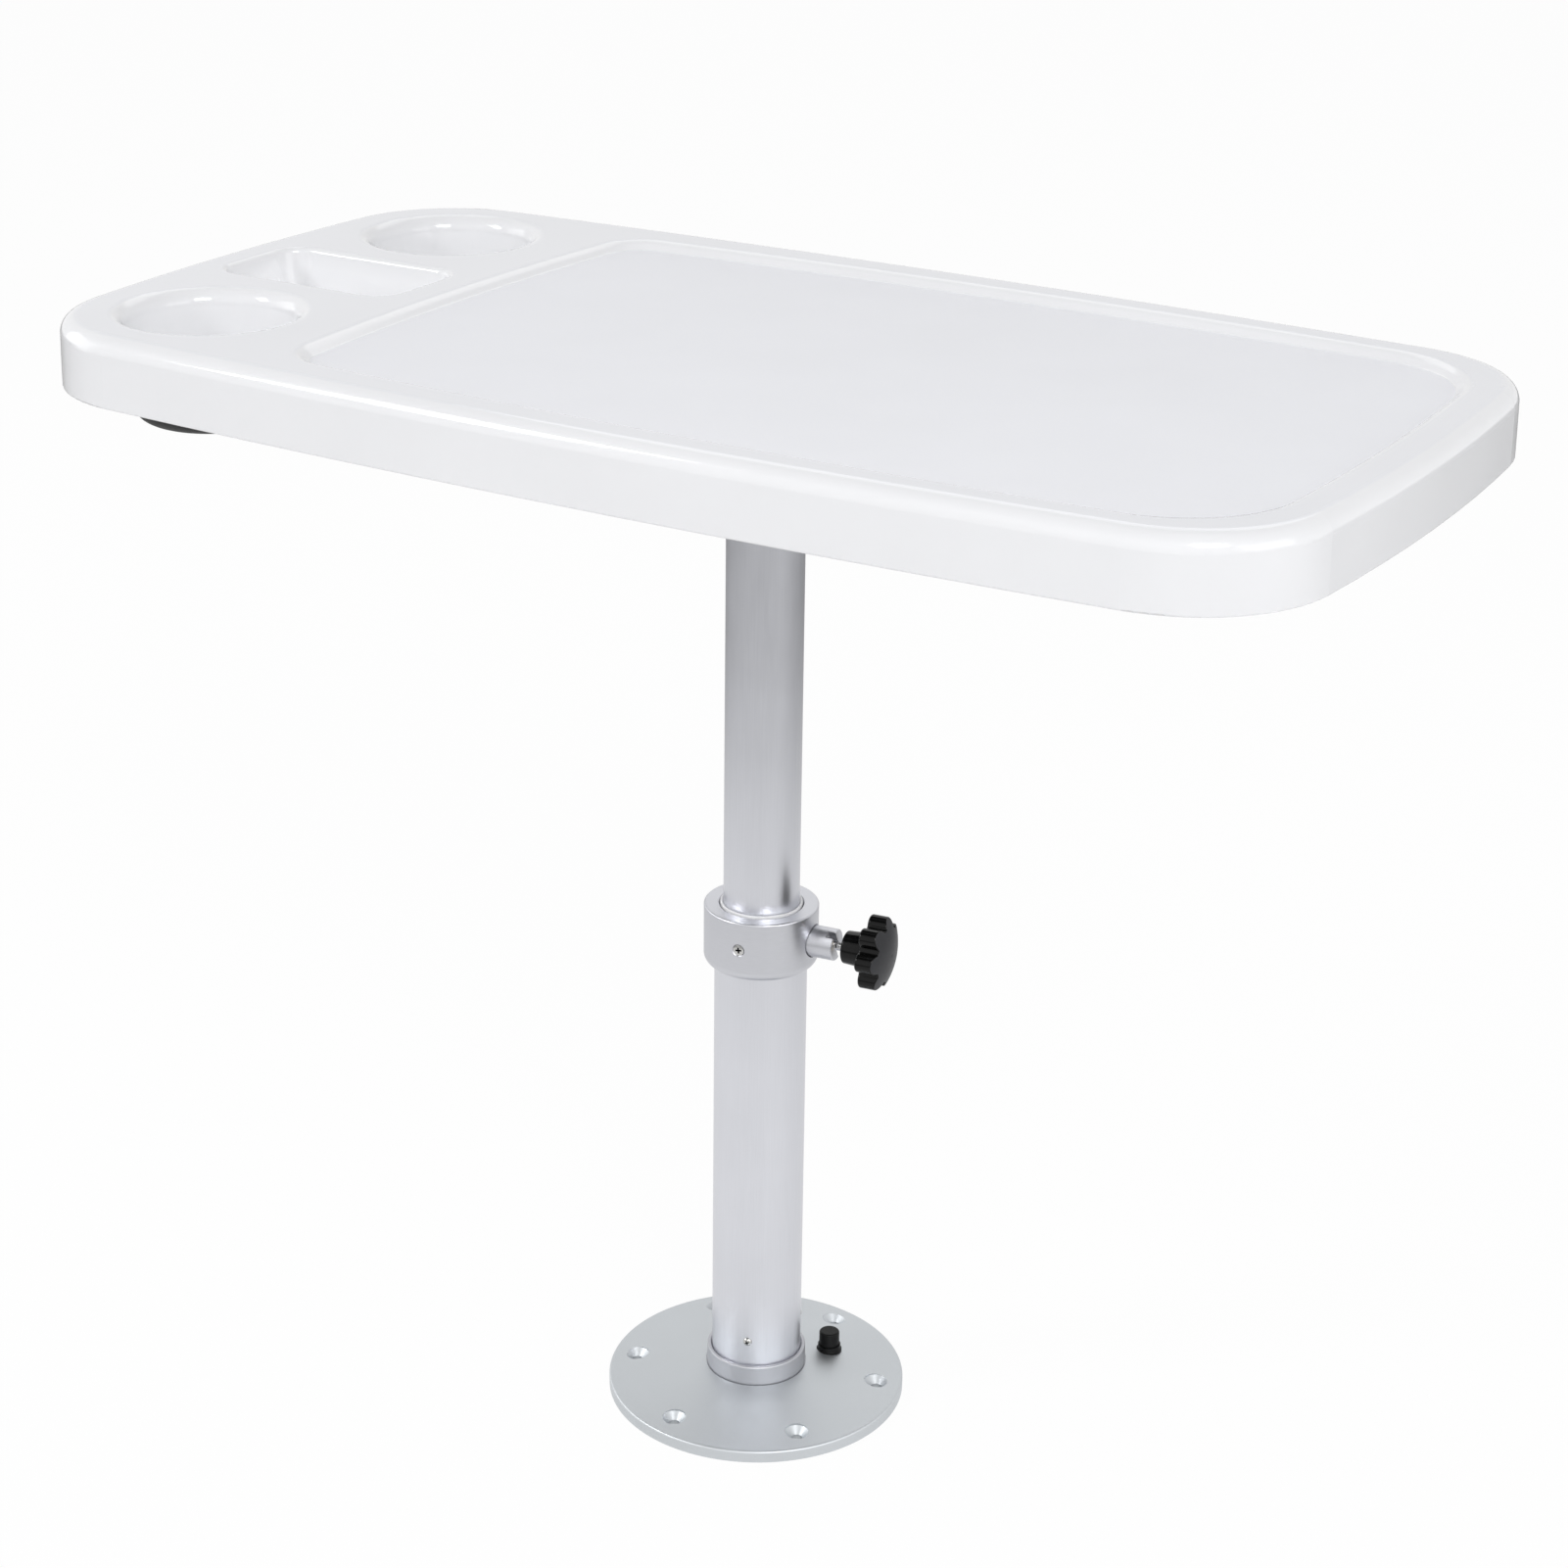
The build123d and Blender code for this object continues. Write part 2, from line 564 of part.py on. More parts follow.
def tube_end_plug():
    """The flanged plug that closes the foot of the upper tube and carries the slide bush."""
    body_r = UPPER_BORE_R - SLIP
    return turned(
        (0, UPPER_TUBE_FOOT_Z - PLUG_FLANGE_T), (LOWER_BORE_R - PLUG_GAP, UPPER_TUBE_FOOT_Z - PLUG_FLANGE_T),
        (LOWER_BORE_R - PLUG_GAP, UPPER_TUBE_FOOT_Z), (body_r, UPPER_TUBE_FOOT_Z),
        (body_r, UPPER_TUBE_FOOT_Z + PLUG_DEPTH), (body_r - PLUG_WALL, UPPER_TUBE_FOOT_Z + PLUG_DEPTH),
        (body_r - PLUG_WALL, UPPER_TUBE_FOOT_Z), (0, UPPER_TUBE_FOOT_Z),
    )


def slide_bush():
    return tube(LOWER_BORE_R - RUN, UPPER_TUBE_R + RUN, UPPER_TUBE_FOOT_Z + CLEAR, SLIDE_BUSH_TOP_Z)


def guide_bush():
    """The bush in the head of the lower tube: a neck that shows in the collar's mouth, a pad window."""
    bore, neck_z = UPPER_TUBE_R + RUN, COLLAR_TOP_Z + BUSH_NECK_RISE
    bush = tube(LOWER_BORE_R - SLIP, bore, GUIDE_BUSH_FOOT_Z, LOWER_TUBE_TOP_Z)
    neck = tube(BUSH_NECK_R, bore, LOWER_TUBE_TOP_Z, neck_z)
    neck = fillet(circles(neck, BUSH_NECK_R, neck_z), BUSH_NECK_ROUND)
    bush += chamfer(circles(neck, bore, neck_z), BUSH_NECK_LEAD)
    return bush - radial(rod(PAD_R + CLEAR, 0, LOWER_TUBE_R), KNOB_AZIMUTH, KNOB_Z)


def foot_screw_places(part):
    return spun(radial(part, 0, FOOT_SCREW_Z), FOOT_SCREW_COUNT, FOOT_SCREW_START)


def foot_screws():
    screw = pan_head(FOOT_SCREW_HEAD_R, FOOT_SCREW_HEAD_H, FOOT_SCREW_SHANK_R, FOOT_SCREW_LENGTH)
    return foot_screw_places(driven_in(screw, LOWER_TUBE_R))


def collar_screw(gap=0.0):
    """One of the collar's flush screws, which ends at the bore of the lower tube."""
    face = COLLAR_R - COLLAR_SCREW_SINK
    length = face - LOWER_BORE_R
    return driven_in(countersunk(COLLAR_SCREW_HEAD_R, COLLAR_SCREW_R, length, gap), face)


def collar_screw_places(part):
    return [radial(part, KNOB_AZIMUTH + COLLAR_SCREW_SPACING * k, COLLAR_SCREW_Z) for k in (1, 2, 3)]


def collar_screws():
    return collar_screw_places(collar_screw())


def lower_tube():
    """The outer tube of the pole, drilled for the foot screws, collar screws and sleeve."""
    pole = tube(LOWER_TUBE_R, LOWER_BORE_R, TUBE_SEAT_Z, LOWER_TUBE_TOP_Z)
    pole -= foot_screw_places(rod(FOOT_SCREW_SHANK_R + SLIP, 0, LOWER_TUBE_R + CLEAR))
    pole -= collar_screw_places(collar_screw(SLIP))
    return pole - radial(rod(SLEEVE_NOSE_R + SLIP, 0, LOWER_TUBE_R + CLEAR), KNOB_AZIMUTH, KNOB_Z)


def clamp_collar():
    """The turned collar on the head of the lower tube, with its round foot and its mouth."""
    bore, foot = LOWER_TUBE_R + SLIP, COLLAR_TOP_Z - COLLAR_H
    mouth = BUSH_NECK_R + COLLAR_MOUTH_GAP
    collar = turned(
        (bore, foot), (COLLAR_R, foot), (COLLAR_R, COLLAR_TOP_Z), (mouth, COLLAR_TOP_Z),
        (mouth, LOWER_TUBE_TOP_Z), (bore, LOWER_TUBE_TOP_Z),
    )
    collar = fillet(circles(collar, COLLAR_R, foot), COLLAR_FOOT_ROUND)
    collar = fillet(circles(collar, COLLAR_R, COLLAR_TOP_Z), COLLAR_EDGE)
    collar = chamfer(circles(collar, mouth, COLLAR_TOP_Z), COLLAR_MOUTH_CHAMFER)
    collar -= collar_screw_places(collar_screw(SLIP) + rod(COLLAR_SCREW_HEAD_R + SLIP,
                                                           COLLAR_R - COLLAR_SCREW_SINK, 2 * COLLAR_R))
    seat = rod(SLEEVE_R + SLIP, SLEEVE_STEP, SLEEVE_SINK) + rod(SLEEVE_NOSE_R + SLIP, 0, SLEEVE_STEP)
    seat += rod(SLEEVE_R + SLEEVE_SINK_GAP, SLEEVE_SINK, 2 * COLLAR_R)
    return collar - radial(seat, KNOB_AZIMUTH, KNOB_Z)


def knob_sleeve():
    """The slotted sleeve in the collar that the clamp screw runs in."""
    pad_room = PAD_TAIL + SCREW_BACK_OFF
    sleeve = rod(SLEEVE_NOSE_R, SLEEVE_NOSE, SLEEVE_STEP) + rod(SLEEVE_R, SLEEVE_STEP, SLEEVE_END)
    sleeve = chamfer(circles(sleeve, SLEEVE_R, SLEEVE_END), SLEEVE_EDGE)
    sleeve -= rod(PAD_R + CLEAR, SLEEVE_NOSE, pad_room)
    sleeve -= rod(SCREW_R + RUN, pad_room, SLEEVE_END)
    slot = Box(2 * SLEEVE_R, SLOT_W, SLOT_DEPTH, align=(Align.CENTER, Align.CENTER, Align.MAX))
    sleeve -= Pos(0, 0, SLEEVE_END) * Rot(0, 0, SLOT_TILT) * slot
    return radial(sleeve, KNOB_AZIMUTH, KNOB_Z)


def pressure_pad():
    """The plastic plug that the clamp screw presses on the upper tube."""
    pad = rod(PAD_R, PAD_TIP, PAD_TAIL) - rod(SCREW_TIP_R + RUN, PAD_TAIL - PAD_BORE_DEPTH, PAD_TAIL)
    return radial(pad, KNOB_AZIMUTH, KNOB_Z)


def clamp_screw():
    """The clamp screw: a tip in the pad, the threaded run, a bright neck and the tail in the knob."""
    neck = SLEEVE_END - SLOT_DEPTH - SCREW_NECK_SET
    screw = rod(SCREW_TIP_R, PAD_TAIL - PAD_BORE_DEPTH + CLEAR, PAD_TAIL + CLEAR)
    screw += rod(SCREW_R, PAD_TAIL + CLEAR, neck)
    screw += rod(SCREW_NECK_R, neck, KNOB_HUB_END)
    screw += rod(SCREW_R, KNOB_HUB_END, INSERT_END)
    return radial(screw, KNOB_AZIMUTH, KNOB_Z)


def knob_insert():
    return radial(tube(INSERT_R, SCREW_R + SLIP, KNOB_HUB_END, INSERT_END), KNOB_AZIMUTH, KNOB_Z)


def star_outline():
    """Round lobes spaced about a core, with the valleys between them rounded."""
    star = Circle(KNOB_CORE_R)
    lobe = Pos(KNOB_STAR_R - KNOB_LOBE_R, 0) * Circle(KNOB_LOBE_R)
    for k in range(KNOB_LOBES):
        star += Rot(0, 0, KNOB_LOBE_START + 360.0 * k / KNOB_LOBES) * lobe
    return fillet(star.vertices(), KNOB_VALLEY_ROUND)


def star_knob():
    """The moulded knob: a flared hub, a lobed grip and a domed face."""
    rim, apex = KNOB_STAR_BACK + KNOB_STAR_L, KNOB_STAR_BACK + KNOB_STAR_L + KNOB_DOME_H
    dome_r = (KNOB_STAR_R**2 + KNOB_DOME_H**2) / (2 * KNOB_DOME_H)
    dome = Pos(0, 0, apex - dome_r) * Sphere(dome_r) & rod(2 * KNOB_STAR_R, rim - KNOB_STAR_L, apex)
    grip = extrude(Pos(0, 0, KNOB_STAR_BACK) * star_outline(), amount=KNOB_STAR_L + KNOB_DOME_H) & dome
    grip = fillet(grip.edges().filter_by(lambda e: e.bounding_box().min.Z > rim - TOUCH), KNOB_FACE_ROUND)
    grip = fillet(edges_at(grip, KNOB_STAR_BACK), KNOB_EDGE_ROUND)
    hub = turned((0, KNOB_HUB_END), (KNOB_HUB_R, KNOB_HUB_END),
                 (KNOB_HUB_R + KNOB_HUB_FLARE, KNOB_STAR_BACK), (0, KNOB_STAR_BACK))
    hub = fillet(circles(hub, KNOB_HUB_R, KNOB_HUB_END), KNOB_HUB_ROUND)
    knob = grip + hub - rod(INSERT_R, KNOB_HUB_END, INSERT_END)
    return radial(knob, KNOB_AZIMUTH, KNOB_Z)


def foot_plug():
    """The plug in the foot of the lower tube, with the spigot that the latch holds."""
    body_r, top = LOWER_BORE_R - SLIP, FOOT_SCREW_Z + FOOT_PLUG_ABOVE
    groove_r, pocket_r = SPIGOT_R - SPIGOT_GROOVE_DEPTH, body_r - FOOT_PLUG_WALL
    low, high = LATCH_Z - 2 * LATCH_PLAY, LATCH_TOP_Z + 2 * LATCH_PLAY
    floor = TUBE_SEAT_Z + FOOT_PLUG_FLOOR
    plug = turned(
        (0, SPIGOT_FOOT_Z), (SPIGOT_R, SPIGOT_FOOT_Z), (SPIGOT_R, low), (groove_r, low),
        (groove_r, high), (SPIGOT_R, high), (SPIGOT_R, TUBE_SEAT_Z), (body_r, TUBE_SEAT_Z),
        (body_r, top), (pocket_r, top), (pocket_r, floor), (0, floor),
    )
    plug = chamfer(circles(plug, SPIGOT_R, SPIGOT_FOOT_Z), SPIGOT_LEAD)
    return plug - foot_screw_places(rod(FOOT_SCREW_SHANK_R + SLIP, 0, LOWER_TUBE_R))


def on_latch_line(part):
    """Place a part made along X on the radius that the latch slides along."""
    return Rot(0, 0, BUTTON_AZIMUTH) * part


def at_cover_screws(part):
    row = LATCH_W / 2 + LATCH_PLAY + RAIL_W / 2
    ends = (COVER_START + RAIL_W, LATCH_END)
    return [on_latch_line(Pos(s, side * row, 0) * part) for s in ends for side in (-1, 1)]


def base_recess():
    """The hollow under the plate, between its ribs and the latch's two rails."""
    recess = tube(BASE_RECESS_R, HUB_R + HUB_SKIRT, 0, BASE_RECESS_H)
    rib = block((0, -BASE_RIB_T / 2, 0), (BASE_R, BASE_RIB_T / 2, BASE_RECESS_H))
    recess -= spun(rib, BASE_HOLE_COUNT, BASE_HOLE_START)
    side = LATCH_W / 2 + LATCH_PLAY + RAIL_W
    return recess - on_latch_line(block((0, -side, RAIL_FOOT_Z), (BASE_R, side, BASE_RECESS_H)))


def base_plate():
    """The cast base: a coned disc with a hub ring, screw holes and the latch's track below."""
    bore = SPIGOT_R + SLIP
    plate = turned(
        (bore, 0), (BASE_R, 0), (BASE_R, BASE_RIM_H), (HUB_R, HUB_FOOT_Z), (HUB_R, HUB_TOP_Z),
        (HUB_BORE_R, HUB_TOP_Z), (HUB_BORE_R, TUBE_SEAT_Z), (bore, TUBE_SEAT_Z),
    )
    plate = fillet(circles(plate, BASE_R, BASE_RIM_H), BASE_EDGE_ROUND)
    plate = fillet(circles(plate, HUB_R, HUB_TOP_Z), HUB_EDGE)
    plate = chamfer(circles(plate, HUB_BORE_R, HUB_TOP_Z), HUB_EDGE)
    plate -= tube(HUB_R + HUB_GROOVE_W, HUB_R, HUB_FOOT_Z - HUB_GROOVE_DEPTH, HUB_FOOT_Z)
    plate -= base_recess()
    sink_depth = (BASE_SINK_R - BASE_HOLE_R) / tan(radians(BASE_SINK_ANGLE))
    sink = turned((0, -HUB_FOOT_Z), (BASE_HOLE_R, -HUB_FOOT_Z), (BASE_HOLE_R, -sink_depth),
                  (BASE_SINK_R, 0), (BASE_SINK_R, HUB_FOOT_Z), (0, HUB_FOOT_Z))
    plate -= spun(Pos(BASE_HOLE_PCD / 2, 0, BASE_SINK_Z) * sink, BASE_HOLE_COUNT, BASE_HOLE_START)
    half = LATCH_W / 2 + LATCH_PLAY
    track = block((SPIGOT_R - LATCH_BITE, -half, RAIL_FOOT_Z),
                  (LATCH_END + BUTTON_TRAVEL + CLEAR, half, TRACK_ROOF_Z))
    stem = BUTTON_STEM_R + CLEAR
    well = block((BLADE_FOOT_S - LATCH_BLADE_T / 2 - CLEAR, -stem, TRACK_ROOF_Z),
                 (BUTTON_OFFSET + stem, stem, BEZEL_SEAT_Z))
    seat = Pos(BUTTON_OFFSET, 0, 0) * rod(BEZEL_FOOT_R + SLIP, BEZEL_SEAT_Z, HUB_TOP_Z)
    plate -= on_latch_line(track + well + seat)
    return plate - at_cover_screws(rod(COVER_SCREW_R + SLIP, RAIL_FOOT_Z, RAIL_FOOT_Z + COVER_SCREW_BITE + CLEAR))


def button_bezel():
    """The flared ring round the button, with the floor that its spring stands on."""
    top, floor, step = (BEZEL_SEAT_Z + rise for rise in (BEZEL_H, BEZEL_FLOOR, BEZEL_FOOT_H))
    hole = BUTTON_STEM_R + CLEAR
    ring = turned(
        (hole, BEZEL_SEAT_Z), (BEZEL_FOOT_R, BEZEL_SEAT_Z), (BEZEL_FOOT_R, step), (BEZEL_TOP_R, step),
        (BEZEL_TOP_R, top), (BEZEL_BORE_R, top), (BEZEL_BORE_R, floor), (hole, floor),
    )
    ring = fillet(circles(ring, BEZEL_TOP_R, step), BEZEL_FLARE_R)
    return on_latch_line(Pos(BUTTON_OFFSET, 0, 0) * ring)


def release_button():
    """The hollow cap of the button, with the socket that its stem is pressed into."""
    cap = rod(BUTTON_R, BUTTON_SKIRT_Z, BUTTON_TOP_Z)
    cap = fillet(circles(cap, BUTTON_R, BUTTON_TOP_Z), BUTTON_ROUND)
    cap -= rod(BUTTON_R - BUTTON_WALL, BUTTON_SKIRT_Z, BUTTON_TOP_Z - BUTTON_ROOF)
    cap -= rod(BUTTON_STEM_R, BUTTON_SKIRT_Z, BUTTON_TOP_Z - BUTTON_ROOF / 2)
    return on_latch_line(Pos(BUTTON_OFFSET, 0, 0) * cap)


def blade(gap, low, high):
    """The slanted blade that moves the latch, or its slot when it is larger by a gap."""
    half = LATCH_BLADE_T / 2 + gap
    foot, head = BUTTON_OFFSET - (BLADE_TOP_Z - low), BUTTON_OFFSET - (BLADE_TOP_Z - high)
    side = make_face(Plane.XZ * Polyline((foot - half, low), (foot + half, low),
                                         (head + half, high), (head - half, high), close=True))
    return extrude(side, amount=LATCH_BLADE_W / 2 + gap, both=True)


def button_stem():
    stem = Pos(BUTTON_OFFSET, 0, 0) * rod(BUTTON_STEM_R, BLADE_TOP_Z, BUTTON_TOP_Z - BUTTON_ROOF / 2)
    return on_latch_line(stem + blade(0.0, BLADE_FOOT_Z, BLADE_TOP_Z))


def latch_bar():
    """The sliding bar that holds the spigot, with the slanted slot that the blade rides in."""
    bar = block((LATCH_TIP, -LATCH_W / 2, LATCH_Z), (LATCH_END, LATCH_W / 2, LATCH_TOP_Z))
    return on_latch_line(bar - blade(LATCH_PLAY, LATCH_Z - LATCH_T, LATCH_TOP_Z + LATCH_T))


def latch_cover():
    """The sheet that keeps the latch bar up in its track."""
    side = LATCH_W / 2 + LATCH_PLAY + RAIL_W
    sheet = on_latch_line(block((COVER_START, -side, RAIL_FOOT_Z - COVER_T),
                                (LATCH_END + COVER_OVERHANG, side, RAIL_FOOT_Z)))
    return sheet - at_cover_screws(rod(COVER_SCREW_R + SLIP, 0, RAIL_FOOT_Z))


def latch_cover_screws():
    screw = pan_head(COVER_SCREW_HEAD_R, COVER_SCREW_HEAD_H, COVER_SCREW_R, COVER_T + COVER_SCREW_BITE)
    return at_cover_screws(Pos(0, 0, RAIL_FOOT_Z - COVER_T) * screw)


def button_spring():
    """The coil spring between the bezel's floor and the roof of the button."""
    low, high = BEZEL_SEAT_Z + BEZEL_FLOOR + SPRING_WIRE_R, BUTTON_TOP_Z - BUTTON_ROOF - SPRING_WIRE_R
    coil_r = (BUTTON_STEM_R + BUTTON_R - BUTTON_WALL) / 2
    path = Helix((high - low) / SPRING_TURNS, high - low, coil_r)
    wire = Plane(path @ 0, z_dir=path % 0) * Circle(SPRING_WIRE_R)
    return on_latch_line(Pos(BUTTON_OFFSET, 0, low) * sweep(wire, path, is_frenet=True))


NODES = [
    tabletop_shell, core_board, underside_pan, cup_boots, tray_boot, pan_screws, top_flange,
    flange_screws, flange_grub_screws, upper_tube, retaining_ring, tube_end_plug, slide_bush, guide_bush,
    lower_tube, foot_plug, foot_screws, clamp_collar, collar_screws, knob_sleeve, pressure_pad,
    clamp_screw, knob_insert, star_knob, base_plate, button_bezel, release_button, button_stem,
    button_spring, latch_bar, latch_cover, latch_cover_screws,
]


def main():
    os.makedirs("parts", exist_ok=True)
    for make in NODES:
        solids = make()
        shape = Compound(children=solids) if isinstance(solids, list) else solids
        export_step(shape, f"parts/{make.__name__}.step")


if __name__ == "__main__":
    main()
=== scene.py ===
import json
import math

import bmesh
import bpy
from mathutils import Matrix, Vector


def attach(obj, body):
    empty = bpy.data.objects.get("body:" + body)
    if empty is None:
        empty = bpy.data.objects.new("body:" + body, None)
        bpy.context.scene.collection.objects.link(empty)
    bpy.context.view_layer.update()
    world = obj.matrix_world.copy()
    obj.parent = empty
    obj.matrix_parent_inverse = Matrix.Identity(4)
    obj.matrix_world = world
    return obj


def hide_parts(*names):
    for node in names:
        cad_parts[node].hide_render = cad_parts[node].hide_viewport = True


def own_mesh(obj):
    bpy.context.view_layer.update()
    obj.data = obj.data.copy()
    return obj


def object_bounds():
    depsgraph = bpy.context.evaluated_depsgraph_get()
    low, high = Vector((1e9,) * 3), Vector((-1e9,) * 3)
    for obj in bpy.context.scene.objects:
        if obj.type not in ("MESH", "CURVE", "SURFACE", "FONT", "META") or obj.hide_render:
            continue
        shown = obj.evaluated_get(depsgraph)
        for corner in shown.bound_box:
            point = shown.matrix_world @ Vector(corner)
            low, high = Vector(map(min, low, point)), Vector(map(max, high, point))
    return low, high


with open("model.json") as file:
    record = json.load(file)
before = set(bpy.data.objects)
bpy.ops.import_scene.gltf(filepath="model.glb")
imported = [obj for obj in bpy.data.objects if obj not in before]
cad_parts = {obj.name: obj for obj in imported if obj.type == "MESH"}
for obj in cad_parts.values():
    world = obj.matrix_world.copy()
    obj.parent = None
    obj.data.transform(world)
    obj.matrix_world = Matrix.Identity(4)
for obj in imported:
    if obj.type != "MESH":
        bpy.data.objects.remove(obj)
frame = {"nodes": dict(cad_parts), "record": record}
cad_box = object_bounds()
NODES = frame["nodes"]
RECORD = frame["record"]

MM = 0.001
X_AXIS, Y_AXIS, Z_AXIS = (1.0, 0.0, 0.0), (0.0, 1.0, 0.0), (0.0, 0.0, 1.0)

# Camera, fitted to the photograph: focal length and centre in pixels of the 1601 frame.
IMAGE_PX = 1601.0
FOCAL_PX = 3346.034
CENTRE_PX = (756.346, 832.292)
CAMERA_AT = (0.987184, -1.642087, 1.225465)
CAMERA_PITCH, CAMERA_YAW, CAMERA_ROLL = 22.84, -31.427, -0.522
SENSOR_MM = 36.0

# Studio, in metres
WHITE = (1, 1, 1, 1)
FLOOR_SIZE = 14.0
FLOOR_COLOUR = (0.94, 0.94, 0.94, 1.0)
FLOOR_WHITE_SEEN = 0.96        # share of plain white in the floor as the camera sees it
FLOOR_WHITE_MIRRORED = 0.8     # the same in reflections, where the floor's glow dims away from the pole: painted shade in the metals' reflections
FLOOR_DIMS = (0.9, 1.6)        # between these distances from the pole it dims
FLOOR_DIMMEST = 0.26           # to this share
FLOOR_BEHIND = 0.9             # how bright the floor behind the pole is in reflections
FLOOR_BEHIND_TO = (-1.0, 0.6)  # from straight behind the pole to where the floor is at its brightest
WORLD_FILL = 0.4               # light from all around
CEILING_FROM = (0.6, 0.9)      # how steeply up reflections meet the dim ceiling
CEILING_LEVEL = 0.35
BELOW_TOP, AT_TOP = (0.0, 0.0, 0.6), (0.0, 0.0, 0.72)
# Name, place, size, watts and aim of each light
LIGHTS = (
    ("front_left", (-2.45, -2.5, 2.9), (0.9, 1.2), 51, BELOW_TOP),
    ("front_right", (2.5, -2.35, 3.0), (1.4, 1.3), 69, BELOW_TOP),
    ("side_right", (3.4, -0.4, 1.5), (2.2, 1.8), 20, BELOW_TOP),
    ("side_left", (-3.4, -0.6, 1.5), (2.2, 1.8), 14, BELOW_TOP),
    ("overhead", (-0.8, 1.9, 2.6), (2.0, 1.2), 6, AT_TOP),
)

# Places on the object, in metres
PANEL_LEFT_X = -0.236          # the panel's edge towards the wells
PANEL_BAND = 0.0007            # how far from the panel's height its grain reaches
PANEL_FLAT = (0.95, 0.99)      # cosines to the vertical between which a face comes to count as flat
WELLS_X, WELLS_Y = -0.393, 0.19  # the wells lie inside these
WELL_LIP = (0.004, 0.012)      # depths between which a well takes its painted light
HUB_RADIUS = 0.0338            # the turned hub of the base plate
HUB_EDGE = 0.3 * MM
KNOB_FACE = (0.72, 0.82)       # cosines to the knob's axis between which gloss gives way to satin
COLLAR_FOOT = 0.32             # what lies below this in the CAD collar is its rounded foot
COLLAR_FOOT_RISE = 0.0047      # how much higher the photograph shows that foot

# Screws
SCREW_SIDES = 48
SCREW_TURN, SCREW_TURN_MORE = 23, 37  # degrees: the first screw's turn, and what each next one adds
SHARP_DEG = 32
WELD = 0.01 * MM
RECESS_SIDE, RECESS_UNDER = 0.1 * MM, 0.15 * MM  # how far inside a screw's skin its recess begins

# Darkest and lightest tone of the white top's places, and how cool they are: painted shade and cool
# skylight on flat gloss faces, painted light on sloped faces and in the wells, and the matt panel's
# own tone with the same painted cool
FLAT_PAINTED_SHADE_TONES, SLOPE_PAINTED_LIGHT_TONES = (0.78, 0.8), (0.82, 0.84)
PANEL_TONES, WELL_PAINTED_LIGHT_TONES = (0.83, 0.85), (0.86, 0.88)
PAINTED_SKY_COOL, SLOPE_PAINTED_COOL, WELL_PAINTED_COOL = 0.045, 0.022, 0.02
TOP_COAT = 0.25

# Red, green and blue of the metals, as shares of their level
SATIN_TINT = (0.989, 1.0, 1.055)
PLATE_TINT = (0.96, 1.0, 1.034)
NICKEL_TINT = (1.004, 1.0, 0.98)
METAL_SPREAD = (0.95, 1.04)    # how far a metal's tone strays from its level
METAL_CLOUDS = 14.0            # in a metre
EVEN = (1.0, 1.0, 1.0)
DRAWN = (1.0, 1.0, 0.012)      # grain along the pole
TURNED = (0.06, 0.06, 1.0)     # grain around the pole


def record_joint(name):
    return next(j for j in RECORD["behaviour"]["joints"] if j["name"] == name)


def joint_axis(name):
    """The direction of one of the record's joints."""
    return Vector(record_joint(name)["axis"]).normalized()


def mount_at(name):
    return Vector(next(m for m in RECORD["mounts"] if m["name"] == name)["pos_m"])


def add_camera():
    pitch, yaw, roll = (math.radians(a) for a in (CAMERA_PITCH, CAMERA_YAW, CAMERA_ROLL))
    level = math.cos(pitch)
    ahead = Vector((math.sin(yaw) * level, math.cos(yaw) * level, -math.sin(pitch)))
    right = Vector((math.cos(yaw), -math.sin(yaw), 0.0))
    down = ahead.cross(right)
    across = math.cos(roll) * right + math.sin(roll) * down
    drop = math.cos(roll) * down - math.sin(roll) * right
    data = bpy.data.cameras.new("camera")
    data.sensor_width = SENSOR_MM
    data.lens = FOCAL_PX / IMAGE_PX * SENSOR_MM
    data.shift_x = (IMAGE_PX / 2 - CENTRE_PX[0]) / IMAGE_PX
    data.shift_y = (CENTRE_PX[1] - IMAGE_PX / 2) / IMAGE_PX
    camera = bpy.data.objects.new("camera", data)
    turn = Matrix((across, -drop, -ahead)).transposed().to_4x4()
    camera.matrix_world = Matrix.Translation(CAMERA_AT) @ turn
    bpy.context.scene.collection.objects.link(camera)
    bpy.context.scene.camera = camera


def add_light(name, at, size, power, aim):
    data = bpy.data.lights.new(name, "AREA")
    data.shape = "RECTANGLE"
    data.size, data.size_y = size
    data.energy = power
    light = bpy.data.objects.new(name, data)
    light.location = at
    light.rotation_euler = (Vector(aim) - Vector(at)).to_track_quat("-Z", "Y").to_euler()
    bpy.context.scene.collection.objects.link(light)


def grey(level, cool=0.0):
    """A grey with a little more blue in it."""
    return (level * (1 - cool / 5), level, level * (1 + cool), 1.0)


def tinted(level, tint):
    return (*(level * share for share in tint), 1.0)


